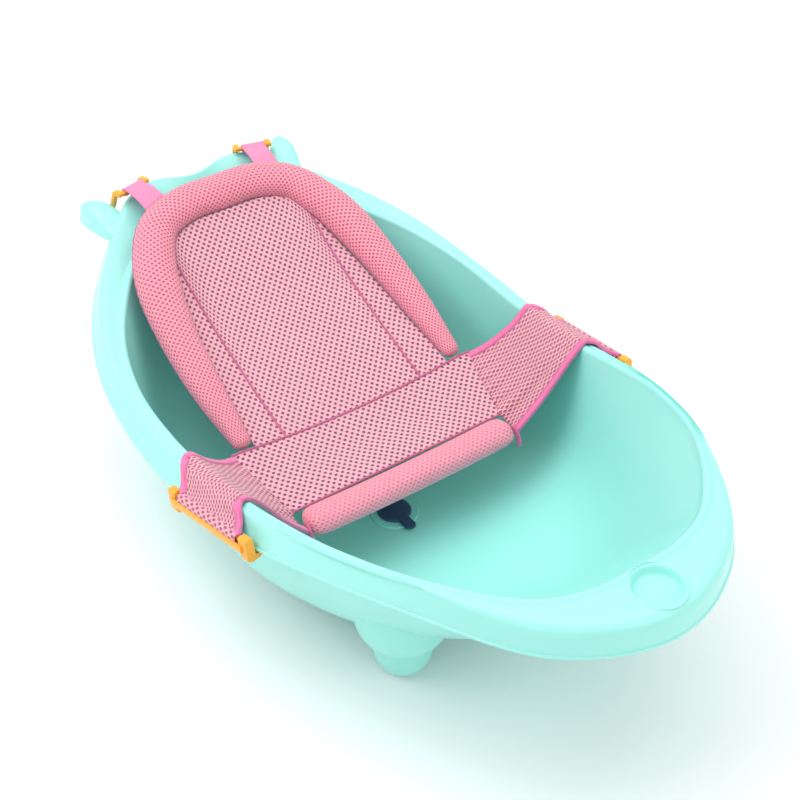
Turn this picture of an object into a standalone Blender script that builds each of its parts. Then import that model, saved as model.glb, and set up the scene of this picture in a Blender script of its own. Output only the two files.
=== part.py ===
"""Baby bathtub with a mesh bath sling that hangs from its rim.

Metres, +Z up. The origin is on the floor under the middle of the tub. The head end with the two ears
points to +Y, the foot end with the round recess to -Y.
"""
import math

import bmesh
import bpy
import numpy as np
from mathutils import Matrix, Vector

# ---- tub ----
WALL = 0.0025
STATIONS = 64
RIM_LOW = 0.172            # rim height at the lowest place of its saddle
RIM_LOW_Y = 0.060
FOOT_RISE = 0.071          # how much the rim rises towards the foot end
FOOT_RISE_LENGTH = 0.384
HEAD_RISE = 0.0664
HEAD_RISE_LENGTH = 0.336
SKIRT_SIDE = 0.028         # skirt depth under the rim at the sides
SKIRT_FOOT = 0.033
FLARE_SIDE = 0.012         # how far the skirt leans out
FLARE_FOOT = 0.004
BEAD = 0.0012              # the thin flange bead along the skirt's lower edge
BEAD_HEIGHT = 0.003
ROLL_HEIGHT = 0.0022       # raised roll along the basin's edge
ROLL_WIDTH = 0.009
FLOOR_Z = 0.020            # top of the basin floor at the drain
BASIN_DEPTHS = [0.0, 0.14, 0.32, 0.50, 0.66, 0.78, 0.87, 0.93, 0.965]
# Outer edge of the flange and inner edge of the rim, right half, head end to foot end.
FLANGE_EDGE = [(0.0, 0.4065), (0.044, 0.4150), (0.088, 0.4060), (0.1335, 0.3645), (0.188, 0.2945),
               (0.221, 0.215), (0.2345, 0.120), (0.2345, 0.040), (0.2285, -0.060), (0.213, -0.160),
               (0.182, -0.260), (0.124, -0.364), (0.066, -0.412), (0.0, -0.430)]
BASIN_EDGE = [(0.0, 0.366), (0.055, 0.354), (0.104, 0.325), (0.151, 0.274), (0.184, 0.218),
              (0.203, 0.150), (0.207, 0.075), (0.2035, -0.010), (0.1985, -0.100), (0.186, -0.192),
              (0.155, -0.276), (0.100, -0.343), (0.046, -0.366), (0.0, -0.367)]

# ---- ears ----
EAR_CENTRE = (0.1110, 0.3700)
EAR_TURN = math.radians(19)
EAR_LONG = 0.0605
EAR_SHORT = 0.0185
EAR_HEIGHT = 0.029
EAR_BASE = 0.2144

# ---- recess in the foot-end shelf ----
RECESS_Y = -0.396
RECESS_RADIUS = 0.0255
RECESS_DEPTH = 0.008

# ---- feet ----
LEG_PLACES = {"front_left": (-0.104, -0.176), "front_right": (0.104, -0.176),
              "rear_left": (-0.110, 0.165), "rear_right": (0.110, 0.165)}
LEG_RADIUS = 0.0315
LEG_SEAM_Z = 0.0480
# How a leg socket widens above its seam: (out from the leg, up from the seam).
LEG_FLARE = [(0.0, 0.0), (0.0015, 0.0018), (0.0045, 0.0042), (0.0085, 0.0072), (0.0120, 0.0110),
             (0.0150, 0.0170), (0.0170, 0.0260), (0.0180, 0.0420), (0.0170, 0.0560), (0.0120, 0.0680),
             (0.0020, 0.0760)]  # (out, up)
FOOT_FLAT = 0.011          # radius of the flat pad under each domed cap

# ---- drain ----
DRAIN_Y = -0.012
DRAIN_HOLE = 0.0205
SEAT_RADIUS = 0.0265
SEAT_BORE = 0.0150
SEAT_LIP = 0.0012
SEAT_TAIL_Z = 0.0045
NUT_RADIUS = 0.0260
GAP = 0.0004
PLUG_RADIUS = 0.0185

# ---- sling ----
CLOTH = 0.0030
SEAM_GAP = 0.0008
SEAT_LEVEL = 0.105
BACK_CURVE = 0.42
SEAT_SEAM_Y = 0.062        # seam between the back and the seat
ROLL_SEAM_Y = -0.0226      # seam between the seat and the foot roll
BACK_SEAM_X = 0.087        # the two long seams of the back
FOOT_ROLL_DEPTH = 0.0190   # half of the roll's width along Y
FOOT_ROLL_THICKNESS = 0.0125
FOOT_ROLL_HALF = 0.1290
# Middle line of the bolster, right half, and its half width there.
BOLSTER_PATH = [(0.0, 0.3385, 0.0216), (0.045, 0.3375, 0.0216), (0.083, 0.3245, 0.0220),
                (0.106, 0.2960, 0.0238), (0.1215, 0.2570, 0.0246), (0.131, 0.2000, 0.0215),
                (0.1345, 0.1350, 0.0175), (0.1345, 0.0725, 0.0105)]
BOLSTER_LIFT = 0.0032
BOLSTER_FLATNESS = 0.76

# ---- wings, clips and straps ----
BAR_RADIUS = 0.0025
SLEEVE_BORE = 0.0031
SLEEVE_RADIUS = 0.0047
WING_RIM_Y = (-0.066, 0.037)      # front and rear edge of a wing where it crosses the rim
WING_BAR_Y = (-0.094, 0.004)      # the same along the clip's bar
SIDE_BAR_OUT = 0.0056             # from the flange edge out to the bar
SIDE_BAR_DOWN = 0.016             # from the rim's top down to the bar
HEAD_BAR = (0.0785, 0.3915, 0.2515)  # middle of the right head clip's bar
HEAD_BAR_TURN = math.radians(15)
HEAD_CLIP_HALF = 0.020            # half the length of a head clip's bar
SIDE_BLOCK_HALF = 0.0060          # half the width of a clip's end blocks along its bar
HEAD_BLOCK_HALF = 0.0030
STRAP_WIDTH = 0.027

MINT = (0.46, 0.87, 0.79, 1.0)
NAVY = (0.045, 0.075, 0.155, 1.0)
PINK_MESH = (0.94, 0.42, 0.50, 1.0)
PINK_PAD = (0.93, 0.32, 0.41, 1.0)
PINK_TAPE = (0.91, 0.22, 0.46, 1.0)
ORANGE = (0.95, 0.45, 0.045, 1.0)
RUBBER = (0.06, 0.06, 0.065, 1.0)


# ---------------------------------------------------------------- scene helpers
def clear_scene():
    for item in list(bpy.data.objects):
        bpy.data.objects.remove(item, do_unlink=True)


def make_material(name, colour, roughness):
    material = bpy.data.materials.new(name)
    material.use_nodes = True
    shader = material.node_tree.nodes["Principled BSDF"]
    shader.inputs["Base Color"].default_value = colour
    shader.inputs["Roughness"].default_value = roughness
    shader.inputs["Metallic"].default_value = 0.0
    return material


def add_object(name, vertices, faces, material, collection, smooth=35):
    mesh = bpy.data.meshes.new(name)
    mesh.from_pydata([tuple(float(value) for value in point) for point in vertices], [], faces)
    mesh.validate()
    obj = bpy.data.objects.new(name, mesh)
    collection.objects.link(obj)
    if material is not None:
        mesh.materials.append(material)
    mesh.shade_smooth()
    mesh.set_sharp_from_angle(angle=math.radians(smooth))
    return obj


def as_guide(obj):
    """Marks an object as a cutter or joiner that is not a piece of the tub."""
    obj.hide_render = True
    obj.display_type = "WIRE"
    return obj


def boolean(obj, other, operation):
    modifier = obj.modifiers.new(operation.lower(), "BOOLEAN")
    modifier.operation = operation
    modifier.solver = "EXACT"
    modifier.object = other


def solidify(obj, thickness, offset, even=False):
    modifier = obj.modifiers.new("thickness", "SOLIDIFY")
    modifier.thickness = thickness
    modifier.offset = offset
    modifier.use_even_offset = even


def apply_modifiers(obj):
    """Replaces an object's mesh by its evaluated one."""
    bpy.context.view_layer.update()
    graph = bpy.context.evaluated_depsgraph_get()
    mesh = bpy.data.meshes.new_from_object(obj.evaluated_get(graph))
    obj.modifiers.clear()
    obj.data = mesh


def mirrored(obj, name, collection):
    """A copy of an object on the other side of the X = 0 plane."""
    copy = bpy.data.objects.new(name, obj.data.copy())
    collection.objects.link(copy)
    copy.data.transform(Matrix.Diagonal((-1.0, 1.0, 1.0, 1.0)) @ obj.matrix_world)
    copy.data.flip_normals()
    return copy


# ---------------------------------------------------------------- geometry helpers
def spline(points, count, closed=False):
    """Catmull-Rom curve through the points, evenly spaced by the points' own index."""
    points = np.asarray(points, float)
    if closed:
        padded = np.vstack([points[-1], points, points[0], points[1]])
        spans = len(points)
    else:
        padded = np.vstack([2 * points[0] - points[1], points, 2 * points[-1] - points[-2]])
        spans = len(points) - 1
    places = np.linspace(0, spans, count, endpoint=not closed)
    curve = []
    for place in places:
        index = min(int(place), spans - 1)
        t = place - index
        a, b, c, d = padded[index:index + 4]
        curve.append(0.5 * (2 * b + (c - a) * t + (2 * a - 5 * b + 4 * c - d) * t ** 2
                            + (3 * b - a - 3 * c + d) * t ** 3))
    return np.array(curve)


def by_length(curve, count, closed=False):
    """The same curve with evenly spaced points."""
    if closed:
        curve = np.vstack([curve, curve[:1]])
    steps = np.linalg.norm(np.diff(curve, axis=0), axis=1)
    length = np.concatenate([[0], np.cumsum(steps)])
    places = np.linspace(0, length[-1], count, endpoint=not closed)
    return np.column_stack([np.interp(places, length, column) for column in curve.T])


def full_outline(half):
    """Dense closed outline from the points of its right half, head end to foot end."""
    left = [(-x, y) for x, y in half[1:-1]][::-1]
    return spline(list(half) + left, 1200, closed=True)


def at_angles(outline, angles):
    """Points where rays from the middle of the tub cross an outline. Angle 0 is the head end."""
    bearing = np.unwrap(np.arctan2(outline[:, 0], outline[:, 1]))
    order = np.argsort(bearing)
    bearing = bearing[order]
    radius = np.hypot(outline[:, 0], outline[:, 1])[order]
    found = np.interp(angles, bearing, radius, period=2 * math.pi)
    return np.column_stack([found * np.sin(angles), found * np.cos(angles)])


def outward(ring):
    """Unit outward normals of a closed ring that runs clockwise seen from above."""
    along = np.roll(ring, -1, axis=0) - np.roll(ring, 1, axis=0)
    normal = np.column_stack([-along[:, 1], along[:, 0]])
    return normal / np.linalg.norm(normal, axis=1)[:, None]


def smoothstep(value):
    value = np.clip(value, 0.0, 1.0)
    return value * value * (3 - 2 * value)


def loft(rings, close_start=False, close_end=False):
    """Vertices and faces of a skin over closed rings with equal point counts."""
    count = len(rings[0])
    vertices = [tuple(point) for ring in rings for point in ring]
    faces = []
    for row in range(len(rings) - 1):
        for j in range(count):
            k = (j + 1) % count
            faces.append((row * count + j, row * count + k, (row + 1) * count + k, (row + 1) * count + j))
    if close_start:
        faces.append(tuple(range(count - 1, -1, -1)))
    if close_end:
        last = (len(rings) - 1) * count
        faces.append(tuple(range(last, last + count)))
    return vertices, faces


def outward_faces(obj):
    work = bmesh.new()
    work.from_mesh(obj.data)
    bmesh.ops.recalc_face_normals(work, faces=work.faces)
    work.to_mesh(obj.data)
    work.free()
    return obj


def grid_sheet(name, grid, material, collection, thickness=CLOTH):
    """A cloth panel: a grid of points on its middle surface, given the cloth's thickness."""
    rows, columns = grid.shape[:2]
    faces = []
    for i in range(rows - 1):
        for j in range(columns - 1):
            a = i * columns + j
            faces.append((a, a + 1, a + columns + 1, a + columns))
    obj = add_object(name, grid.reshape(-1, 3), faces, material, collection)
    solidify(obj, thickness, 0.0)
    apply_modifiers(obj)
    return outward_faces(obj)


def tube(name, start, end, radius, material, collection, sides=16):
    bpy.ops.mesh.primitive_cylinder_add(vertices=sides, radius=radius, depth=1.0)
    obj = bpy.context.object
    obj.name = name
    obj.data.name = name
    start = Vector(start)
    end = Vector(end)
    turn = (end - start).to_track_quat("Z", "Y").to_matrix().to_4x4()
    stretch = Matrix.Diagonal((1.0, 1.0, (end - start).length, 1.0))
    obj.data.transform(Matrix.Translation((start + end) / 2) @ turn @ stretch)
    for owner in list(obj.users_collection):
        owner.objects.unlink(obj)
    collection.objects.link(obj)
    if material is not None:
        obj.data.materials.append(material)
    return obj


def turned(name, profile, centre, material, collection, steps=40):
    """A solid of revolution about a vertical axis. The profile is closed, as (radius, z) points."""
    angles = [2 * math.pi * k / steps for k in range(steps)]
    vertices = []
    for radius, z in profile:
        for angle in angles:
            vertices.append((centre[0] + radius * math.cos(angle), centre[1] + radius * math.sin(angle), z))
    faces = []
    rows = len(profile)
    for row in range(rows):
        below = ((row + 1) % rows) * steps
        for k in range(steps):
            nxt = (k + 1) % steps
            faces.append((row * steps + k, row * steps + nxt, below + nxt, below + k))
    obj = add_object(name, vertices, faces, material, collection)
    return outward_faces(obj)


def dome(name, profile, centre, material, collection, steps=32):
    """A turned solid without a bore: both ends of the (radius, z) profile are closed by flat discs."""
    rings = []
    for radius, z in profile:
        rings.append([(centre[0] + radius * math.cos(2 * math.pi * k / steps),
                       centre[1] + radius * math.sin(2 * math.pi * k / steps), z) for k in range(steps)])
    vertices, faces = loft(rings, True, True)
    return outward_faces(add_object(name, vertices, faces, material, collection))


def prism(name, outline, frame, half_length, material, collection):
    """A flat outline (u, w) extruded both ways along a frame's Y axis. u is out, w is up."""
    rings = []
    for side in (-half_length, half_length):
        rings.append([frame @ Vector((u, side, w)) for u, w in outline])
    vertices, faces = loft(rings, True, True)
    return outward_faces(add_object(name, vertices, faces, material, collection))


# ---------------------------------------------------------------- tub shape
def rim_height(y):
    foot = FOOT_RISE * smoothstep((RIM_LOW_Y - y) / FOOT_RISE_LENGTH)
    head = HEAD_RISE * np.maximum((y - RIM_LOW_Y) / HEAD_RISE_LENGTH, 0.0) ** 2
    return RIM_LOW + foot + head


def footness(ring):
    """0 at the sides and head, 1 at the foot end."""
    return smoothstep((-ring[:, 1] - 0.20) / 0.18)


def basin_ring(edge, depth, grow=0.0):
    """One level of the basin wall: depth 0 is the rim's inner edge and 1 is the floor."""
    bearing = np.arctan2(edge[:, 0], edge[:, 1])
    toward = np.cos(bearing)
    taper = 0.04 + np.where(toward < 0, 0.36, 0.24) * toward ** 2
    size = (1 - taper * depth) * (1 - depth ** 6) ** (1 / 3)
    centre = np.array([0.0, DRAIN_Y * depth ** 3])
    ring = centre + edge * size[:, None]
    ring = ring + outward(ring) * grow
    top = rim_height(edge[:, 1]) - 0.003
    height = top * (1 - depth) + FLOOR_Z * depth - grow
    return np.column_stack([ring, height])


def tub_outlines(stations):
    angles = np.linspace(0, 2 * math.pi, stations, endpoint=False)
    return at_angles(full_outline(FLANGE_EDGE), angles), at_angles(full_outline(BASIN_EDGE), angles)


def tub_skin_rings():
    flange, basin = tub_outlines(STATIONS)
    foot = footness(flange)
    skirt = SKIRT_SIDE + (SKIRT_FOOT - SKIRT_SIDE) * foot
    flare = FLARE_SIDE + (FLARE_FOOT - FLARE_SIDE) * foot
    out = outward(flange)
    out_basin = outward(basin)
    top = rim_height(flange[:, 1])
    inner_top = rim_height(basin[:, 1])
    corner = flange - out * flare[:, None]

    def level(ring, height):
        return np.column_stack([ring, height])

    rings = [
        level(flange, top - skirt),
        level(flange, top - skirt + BEAD_HEIGHT),
        level(flange - out * BEAD, top - skirt + BEAD_HEIGHT + 0.0012),
        level(flange - out * (flare * 0.42)[:, None], top - skirt * 0.48),
        level(flange - out * (flare * 0.80)[:, None], top - skirt * 0.17),
        level(corner - out * 0.0012, top - 0.0014),
        level(corner - out * 0.0050, top),
        level(basin + out_basin * ROLL_WIDTH, inner_top + 0.0002),
        level(basin + out_basin * ROLL_WIDTH * 0.55, inner_top + ROLL_HEIGHT),
        level(basin + out_basin * ROLL_WIDTH * 0.18, inner_top + ROLL_HEIGHT * 0.4),
    ]
    for depth in BASIN_DEPTHS:
        rings.append(basin_ring(basin, depth))
    bearing = np.arctan2(basin[:, 0], basin[:, 1])
    circle = np.column_stack([np.sin(bearing), np.cos(bearing)])
    drain = np.array([0.0, DRAIN_Y])
    last = rings[-1]
    hole = np.column_stack([drain + circle * DRAIN_HOLE, np.full(STATIONS, FLOOR_Z)])
    mid = last * 0.42 + hole * 0.58
    mid[:, 2] = FLOOR_Z + 0.0012
    near = np.column_stack([drain + circle * (SEAT_RADIUS + 0.004), np.full(STATIONS, FLOOR_Z)])
    rings += [mid, near, hole]
    return rings


def basin_cutter(name, grow, collection):
    """The basin's inside, grown by a distance: it trims what stands against the basin's underside."""
    basin = tub_outlines(STATIONS)[1]
    rings = [basin_ring(basin, depth, grow) for depth in BASIN_DEPTHS[2:] + [0.98]]
    vertices, faces = loft(rings, True, True)
    return as_guide(outward_faces(add_object(name, vertices, faces, None, collection)))


def ear_rings(shrink, base):
    """Rings of a lobe that is lower where it leaves the rim.

    A layer is (scale of the outline, rise): the first three rises are metres, the rest shares of the height.
    """
    steps = 28
    layers = [(1.0, 0.0), (1.0, 0.0035), (0.965, 0.0050), (0.955, 0.45), (0.90, 0.68),
              (0.77, 0.86), (0.55, 0.96), (0.25, 1.0)]
    rings = []
    turn = np.array([[math.cos(EAR_TURN), math.sin(EAR_TURN)], [-math.sin(EAR_TURN), math.cos(EAR_TURN)]])
    for scale, rise in layers:
        ring = []
        for k in range(steps):
            angle = 2 * math.pi * k / steps
            local = np.array([(EAR_SHORT - shrink) * scale * math.sin(angle),
                              (EAR_LONG - shrink) * scale * math.cos(angle)])
            x, y = turn @ local + np.array(EAR_CENTRE)
            height = EAR_HEIGHT * (0.44 + 0.56 * smoothstep((local[1] + 0.008) / 0.040)) - shrink
            ring.append((x, y, base + (rise if rise < 0.01 else rise * height)))
        rings.append(ring)
    return rings


def make_ear(rim_block, guides):
    """A hollow lobe, open below and trimmed where it meets the rim."""
    vertices, faces = loft(ear_rings(0.0, EAR_BASE), True, True)
    ear = outward_faces(add_object("ear_right_form", vertices, faces, None, guides))
    inner = ear_rings(WALL, EAR_BASE)
    inner = [[(x, y, EAR_BASE - 0.01) for x, y, z in inner[0]]] + inner[2:]
    vertices, faces = loft(inner, True, True)
    hollow = as_guide(outward_faces(add_object("ear_hollow", vertices, faces, None, guides)))
    boolean(ear, hollow, "DIFFERENCE")
    boolean(ear, rim_block, "DIFFERENCE")
    apply_modifiers(ear)
    return as_guide(ear)


def make_tub(material, parts, guides):
    rings = tub_skin_rings()
    vertices, faces = loft(rings)
    shell = add_object("tub_shell", vertices, faces, material, parts)
    outward_faces_open(shell)
    solidify(shell, WALL, -1.0)
    # Block under the rim, inside the skirt: the ears stop at it.
    flange = tub_outlines(STATIONS)[0]
    inside = flange - outward(flange) * (FLARE_SIDE + 0.0016)
    low = np.column_stack([inside, np.full(STATIONS, 0.10)])
    high = np.column_stack([inside, np.full(STATIONS, 0.30)])
    vertices, faces = loft([low, high], True, True)
    rim_block = as_guide(outward_faces(add_object("rim_block", vertices, faces, None, guides)))
    ear_right = make_ear(rim_block, guides)
    ear_left = as_guide(mirrored(ear_right, "ear_left_form", guides))
    boolean(shell, ear_right, "UNION")
    boolean(shell, ear_left, "UNION")
    # Leg sockets: short hollow bosses under the floor.
    cutter = basin_cutter("basin_cutter", WALL * 0.45, guides)
    for place, centre in LEG_PLACES.items():
        outer = np.array([(LEG_RADIUS + spread, LEG_SEAM_Z + rise) for spread, rise in LEG_FLARE])
        along = np.gradient(outer, axis=0)
        normal = np.column_stack([along[:, 1], -along[:, 0]]) / np.linalg.norm(along, axis=1)[:, None]
        inner = (outer - normal * WALL)[:0:-1]
        profile = [tuple(point) for point in np.vstack([outer, inner, [(LEG_RADIUS - WALL, LEG_SEAM_Z)]])]
        socket = turned("leg_socket_" + place, profile, centre, None, guides, steps=32)
        boolean(socket, cutter, "DIFFERENCE")
        apply_modifiers(socket)
        boolean(shell, as_guide(socket), "UNION")
    # Recess: an opening in the shelf with a shallow cup joined into it.
    shelf = float(rim_height(RECESS_Y))
    hole = as_guide(dome("recess_hole", [(RECESS_RADIUS, shelf - 0.006), (RECESS_RADIUS, shelf + 0.012)],
                         (0.0, RECESS_Y), None, guides, steps=48))
    boolean(shell, hole, "DIFFERENCE")
    cup_floor = shelf - RECESS_DEPTH
    section = [(-0.0090, cup_floor - WALL), (-0.0040, cup_floor - WALL), (0.0010, shelf - 0.0045),
               (0.0010, shelf + 0.0008), (-0.0008, shelf + 0.0014), (-0.0028, shelf + 0.0002),
               (-0.0046, cup_floor + 0.0016), (-0.0070, cup_floor)]
    cup = dome("recess_cup", [(RECESS_RADIUS + out, z) for out, z in section], (0.0, RECESS_Y), None, guides,
               steps=48)
    boolean(shell, as_guide(cup), "UNION")
    return shell


def outward_faces_open(obj):
    """Turns an open skin so that its outer side faces up and out."""
    mesh = obj.data
    highest = max(mesh.polygons, key=lambda face: face.center.z)
    if highest.normal.z < 0:
        mesh.flip_normals()


# ---------------------------------------------------------------- tub fittings
def make_foot_caps(material, parts, guides):
    """Domed caps, hollow from above. Their upper edges follow the sockets and the basin's underside."""
    top = LEG_SEAM_Z - GAP
    inner = LEG_RADIUS - WALL
    profile = [(FOOT_FLAT, 0.0), (0.0165, 0.0018), (0.0222, 0.0062), (0.0264, 0.0130), (0.0295, 0.0225),
               (0.0311, 0.0340), (LEG_RADIUS, top), (inner, top), (0.0286, 0.0340), (0.0264, 0.0225),
               (0.0222, 0.0130), (0.0150, 0.0065)]
    cutter = basin_cutter("underside_cutter", WALL + 0.0009, guides)
    for place, centre in LEG_PLACES.items():
        cap = dome("foot_cap_" + place, profile, centre, material, parts, steps=20)
        boolean(cap, cutter, "DIFFERENCE")


def make_drain(seat_material, rubber, parts):
    centre = (0.0, DRAIN_Y)
    tail = DRAIN_HOLE - 0.0005
    under = FLOOR_Z - WALL
    over = FLOOR_Z + 0.0003
    turned("drain_seat", [(SEAT_BORE, over + SEAT_LIP), (SEAT_RADIUS - 0.0008, over + SEAT_LIP),
                          (SEAT_RADIUS, over + 0.0003), (SEAT_RADIUS, over),
                          (tail, over), (tail, SEAT_TAIL_Z), (SEAT_BORE, SEAT_TAIL_Z)],
           centre, seat_material, parts)
    turned("drain_gasket", [(tail + GAP, under - 0.0003), (NUT_RADIUS - 0.001, under - 0.0003),
                            (NUT_RADIUS - 0.001, under - 0.0023), (tail + GAP, under - 0.0023)],
           centre, rubber, parts)
    turned("drain_lock_nut", [(tail + GAP, under - 0.0026), (NUT_RADIUS, under - 0.0026),
                              (NUT_RADIUS, under - 0.0090), (NUT_RADIUS - 0.001, under - 0.0100),
                              (tail + GAP, under - 0.0100)],
           centre, seat_material, parts, steps=24)


def make_plug(material, parts, guides):
    """A stopper with a disc on the seat, a tapered stem in its bore and a pull tab."""
    base = FLOOR_Z + 0.0003 + SEAT_LIP + 0.0003
    stem = SEAT_BORE - GAP
    plug = dome("drain_plug", [(stem - 0.0015, base - 0.0105), (stem, base - 0.0080), (stem, base),
                               (PLUG_RADIUS, base), (PLUG_RADIUS, base + 0.0016),
                               (PLUG_RADIUS - 0.0020, base + 0.0034), (PLUG_RADIUS - 0.0060, base + 0.0040)],
                (0.0, DRAIN_Y), material, parts, steps=36)
    tab_end = DRAIN_Y - 0.0285
    frame = Matrix.Translation((0.0, 0.0, base + 0.0022))
    outline = [(-0.0055, DRAIN_Y - 0.010), (0.0055, DRAIN_Y - 0.010)]
    for k in range(9):
        angle = -math.pi * k / 8
        outline.append((0.0068 * math.cos(angle), tab_end + 0.0068 * math.sin(angle)))
    rings = [[(x, y, frame.translation.z + z) for x, y in outline] for z in (-0.0012, 0.0012)]
    vertices, faces = loft(rings, True, True)
    tab = as_guide(outward_faces(add_object("plug_tab_form", vertices, faces, None, guides)))
    boolean(plug, tab, "UNION")
    return plug


# ---------------------------------------------------------------- sling
def back_height(y):
    return SEAT_LEVEL + 0.25 * (y + 0.007) + BACK_CURVE * (y + 0.007) ** 2


def sling_height(x, y):
    """Height of the sling's middle surface: it sags between its edges."""
    sag = 0.010 * float(smoothstep((y - ROLL_SEAM_Y) / 0.06)) * float(1 - smoothstep((y - 0.20) / 0.11))
    return back_height(y) - sag * max(0.0, 1 - (x / 0.14) ** 2)


def bolster_line(count):
    """Points and half widths along the bolster, from its right end over the head to its left end."""
    right = BOLSTER_PATH[::-1]
    left = [(-x, y, width) for x, y, width in BOLSTER_PATH[1:]]
    return by_length(spline(right + left, 400), count)


def make_bolster(material, parts):
    line = bolster_line(36)
    widest = BOLSTER_PATH[0][2]
    points = np.array([(x, y, back_height(y) + BOLSTER_LIFT * width / widest) for x, y, width in line])
    along = np.gradient(points, axis=0)
    along /= np.linalg.norm(along, axis=1)[:, None]
    rings = []
    sides = 12

    def ring(index, scale, shift):
        forward = along[index]
        slope = 0.25 + 2 * BACK_CURVE * (points[index][1] + 0.007)
        up = np.array([0.0, -slope, 1.0])
        across = np.cross(forward, up)
        across /= np.linalg.norm(across)
        up = np.cross(across, forward)
        half = line[index][2] * scale
        centre = points[index] + forward * shift
        turn = [2 * math.pi * k / sides for k in range(sides)]
        return [centre + across * half * math.cos(a) + up * half * BOLSTER_FLATNESS * math.sin(a) for a in turn]

    rings.append(ring(0, 0.45, -0.0075))
    rings.append(ring(0, 0.80, -0.0050))
    for index in range(len(points)):
        rings.append(ring(index, 1.0, 0.0))
    rings.append(ring(-1, 0.80, 0.0050))
    rings.append(ring(-1, 0.45, 0.0075))
    vertices, faces = loft(rings, True, True)
    return outward_faces(add_object("sling_head_bolster", vertices, faces, material, parts, smooth=60))


def bolster_inner_edge():
    """Points along the inside of the bolster's right half, head to foot."""
    half = bolster_line(300)[149::-1]
    along = np.gradient(half[:, :2], axis=0)
    along /= np.linalg.norm(along, axis=1)[:, None]
    inward = np.column_stack([along[:, 1], -along[:, 0]])
    edge = half[:, :2] + inward * (half[:, 2] + SEAM_GAP)[:, None]
    return edge[edge[:, 0] > 0.0]


def bolster_inner_x(edge, y):
    return float(np.interp(y, edge[::-1, 1], edge[::-1, 0]))


def bolster_inner_y(edge, x):
    head = edge[edge[:, 1] > 0.2]
    return float(np.interp(x, head[:, 0], head[:, 1]))


def panel(name, place, columns, rows, material, parts):
    """A sheet of the sling. place gives x and y from shares across and along the panel."""
    grid = np.zeros((rows, columns, 3))
    for i, along in enumerate(np.linspace(0, 1, rows)):
        for j, across in enumerate(np.linspace(0, 1, columns)):
            x, y = place(across, along)
            grid[i, j] = (x, y, sling_height(x, y))
    return grid_sheet(name, grid, material, parts)


def seat_half_width(y):
    share = (y - ROLL_SEAM_Y) / (SEAT_SEAM_Y - ROLL_SEAM_Y)
    return 0.1310 + 0.0190 * share


def make_back_and_seat(material, parts):
    """Three panels inside the bolster, and the seat in front of them."""
    edge = bolster_inner_edge()
    half = BACK_SEAM_X - SEAM_GAP / 2
    low = SEAT_SEAM_Y + SEAM_GAP
    corner = bolster_inner_y(edge, half + SEAM_GAP + 0.002)

    def centre(across, along):
        x = (2 * across - 1) * half
        return x, low + along * (bolster_inner_y(edge, abs(x)) - 0.0006 - low)

    def side(across, along):
        y = low + along * (corner - low)
        outer = min(bolster_inner_x(edge, max(y, 0.085)), 0.1365) - 0.0004
        inner = half + SEAM_GAP
        return inner + across * (outer - inner), y

    def seat(across, along):
        y = ROLL_SEAM_Y + SEAM_GAP + along * (SEAT_SEAM_Y - ROLL_SEAM_Y - SEAM_GAP)
        return (2 * across - 1) * seat_half_width(y), y

    panel("sling_back_centre", centre, 11, 14, material, parts)
    mirrored(panel("sling_back_right", side, 4, 12, material, parts), "sling_back_left", parts)
    panel("sling_seat", seat, 13, 5, material, parts)


def foot_roll_centre():
    return ROLL_SEAM_Y - FOOT_ROLL_DEPTH - 0.0014, back_height(ROLL_SEAM_Y) - 0.003


def make_foot_roll(pad_material, tape_material, parts):
    """A padded roll with flattened, rounded ends and a short tail of edge tape at each end."""
    centre_y, centre_z = foot_roll_centre()
    sides = 18
    end = FOOT_ROLL_HALF
    layers = [(-end, 0.50), (-end + 0.0025, 0.84), (-end + 0.008, 1.0)]
    layers = layers + [(x, 1.0) for x in (-0.08, -0.04, 0.0, 0.04, 0.08)] + [(-x, s) for x, s in layers[::-1]]
    rings = []
    for x, scale in layers:
        rings.append([(x, centre_y + FOOT_ROLL_DEPTH * scale * math.cos(2 * math.pi * k / sides),
                       centre_z + FOOT_ROLL_THICKNESS * scale * math.sin(2 * math.pi * k / sides))
                      for k in range(sides)])
    vertices, faces = loft(rings, True, True)
    outward_faces(add_object("sling_foot_roll", vertices, faces, pad_material, parts, smooth=60))
    frame = Matrix.Translation((end + 0.0020, centre_y - 0.010, centre_z - 0.006))
    outline = [(-0.0012, -0.010), (0.0012, -0.010), (0.0012, 0.006), (-0.0012, 0.006)]
    tail = prism("roll_tail_right", outline, frame, 0.0045, tape_material, parts)
    mirrored(tail, "roll_tail_left", parts)


# ---------------------------------------------------------------- rim crossings
def side_x(half, y):
    """X of an outline's right side at y, within the tub's straight middle."""
    outline = full_outline(half)
    right = outline[(outline[:, 0] > 0) & (np.abs(outline[:, 1]) < 0.2)]
    order = np.argsort(right[:, 1])
    return float(np.interp(y, right[order, 1], right[order, 0]))


def side_bar_ends():
    ends = []
    for y in WING_BAR_Y:
        ends.append(np.array([side_x(FLANGE_EDGE, y) + SIDE_BAR_OUT, y, float(rim_height(y)) - SIDE_BAR_DOWN]))
    return ends


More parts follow.
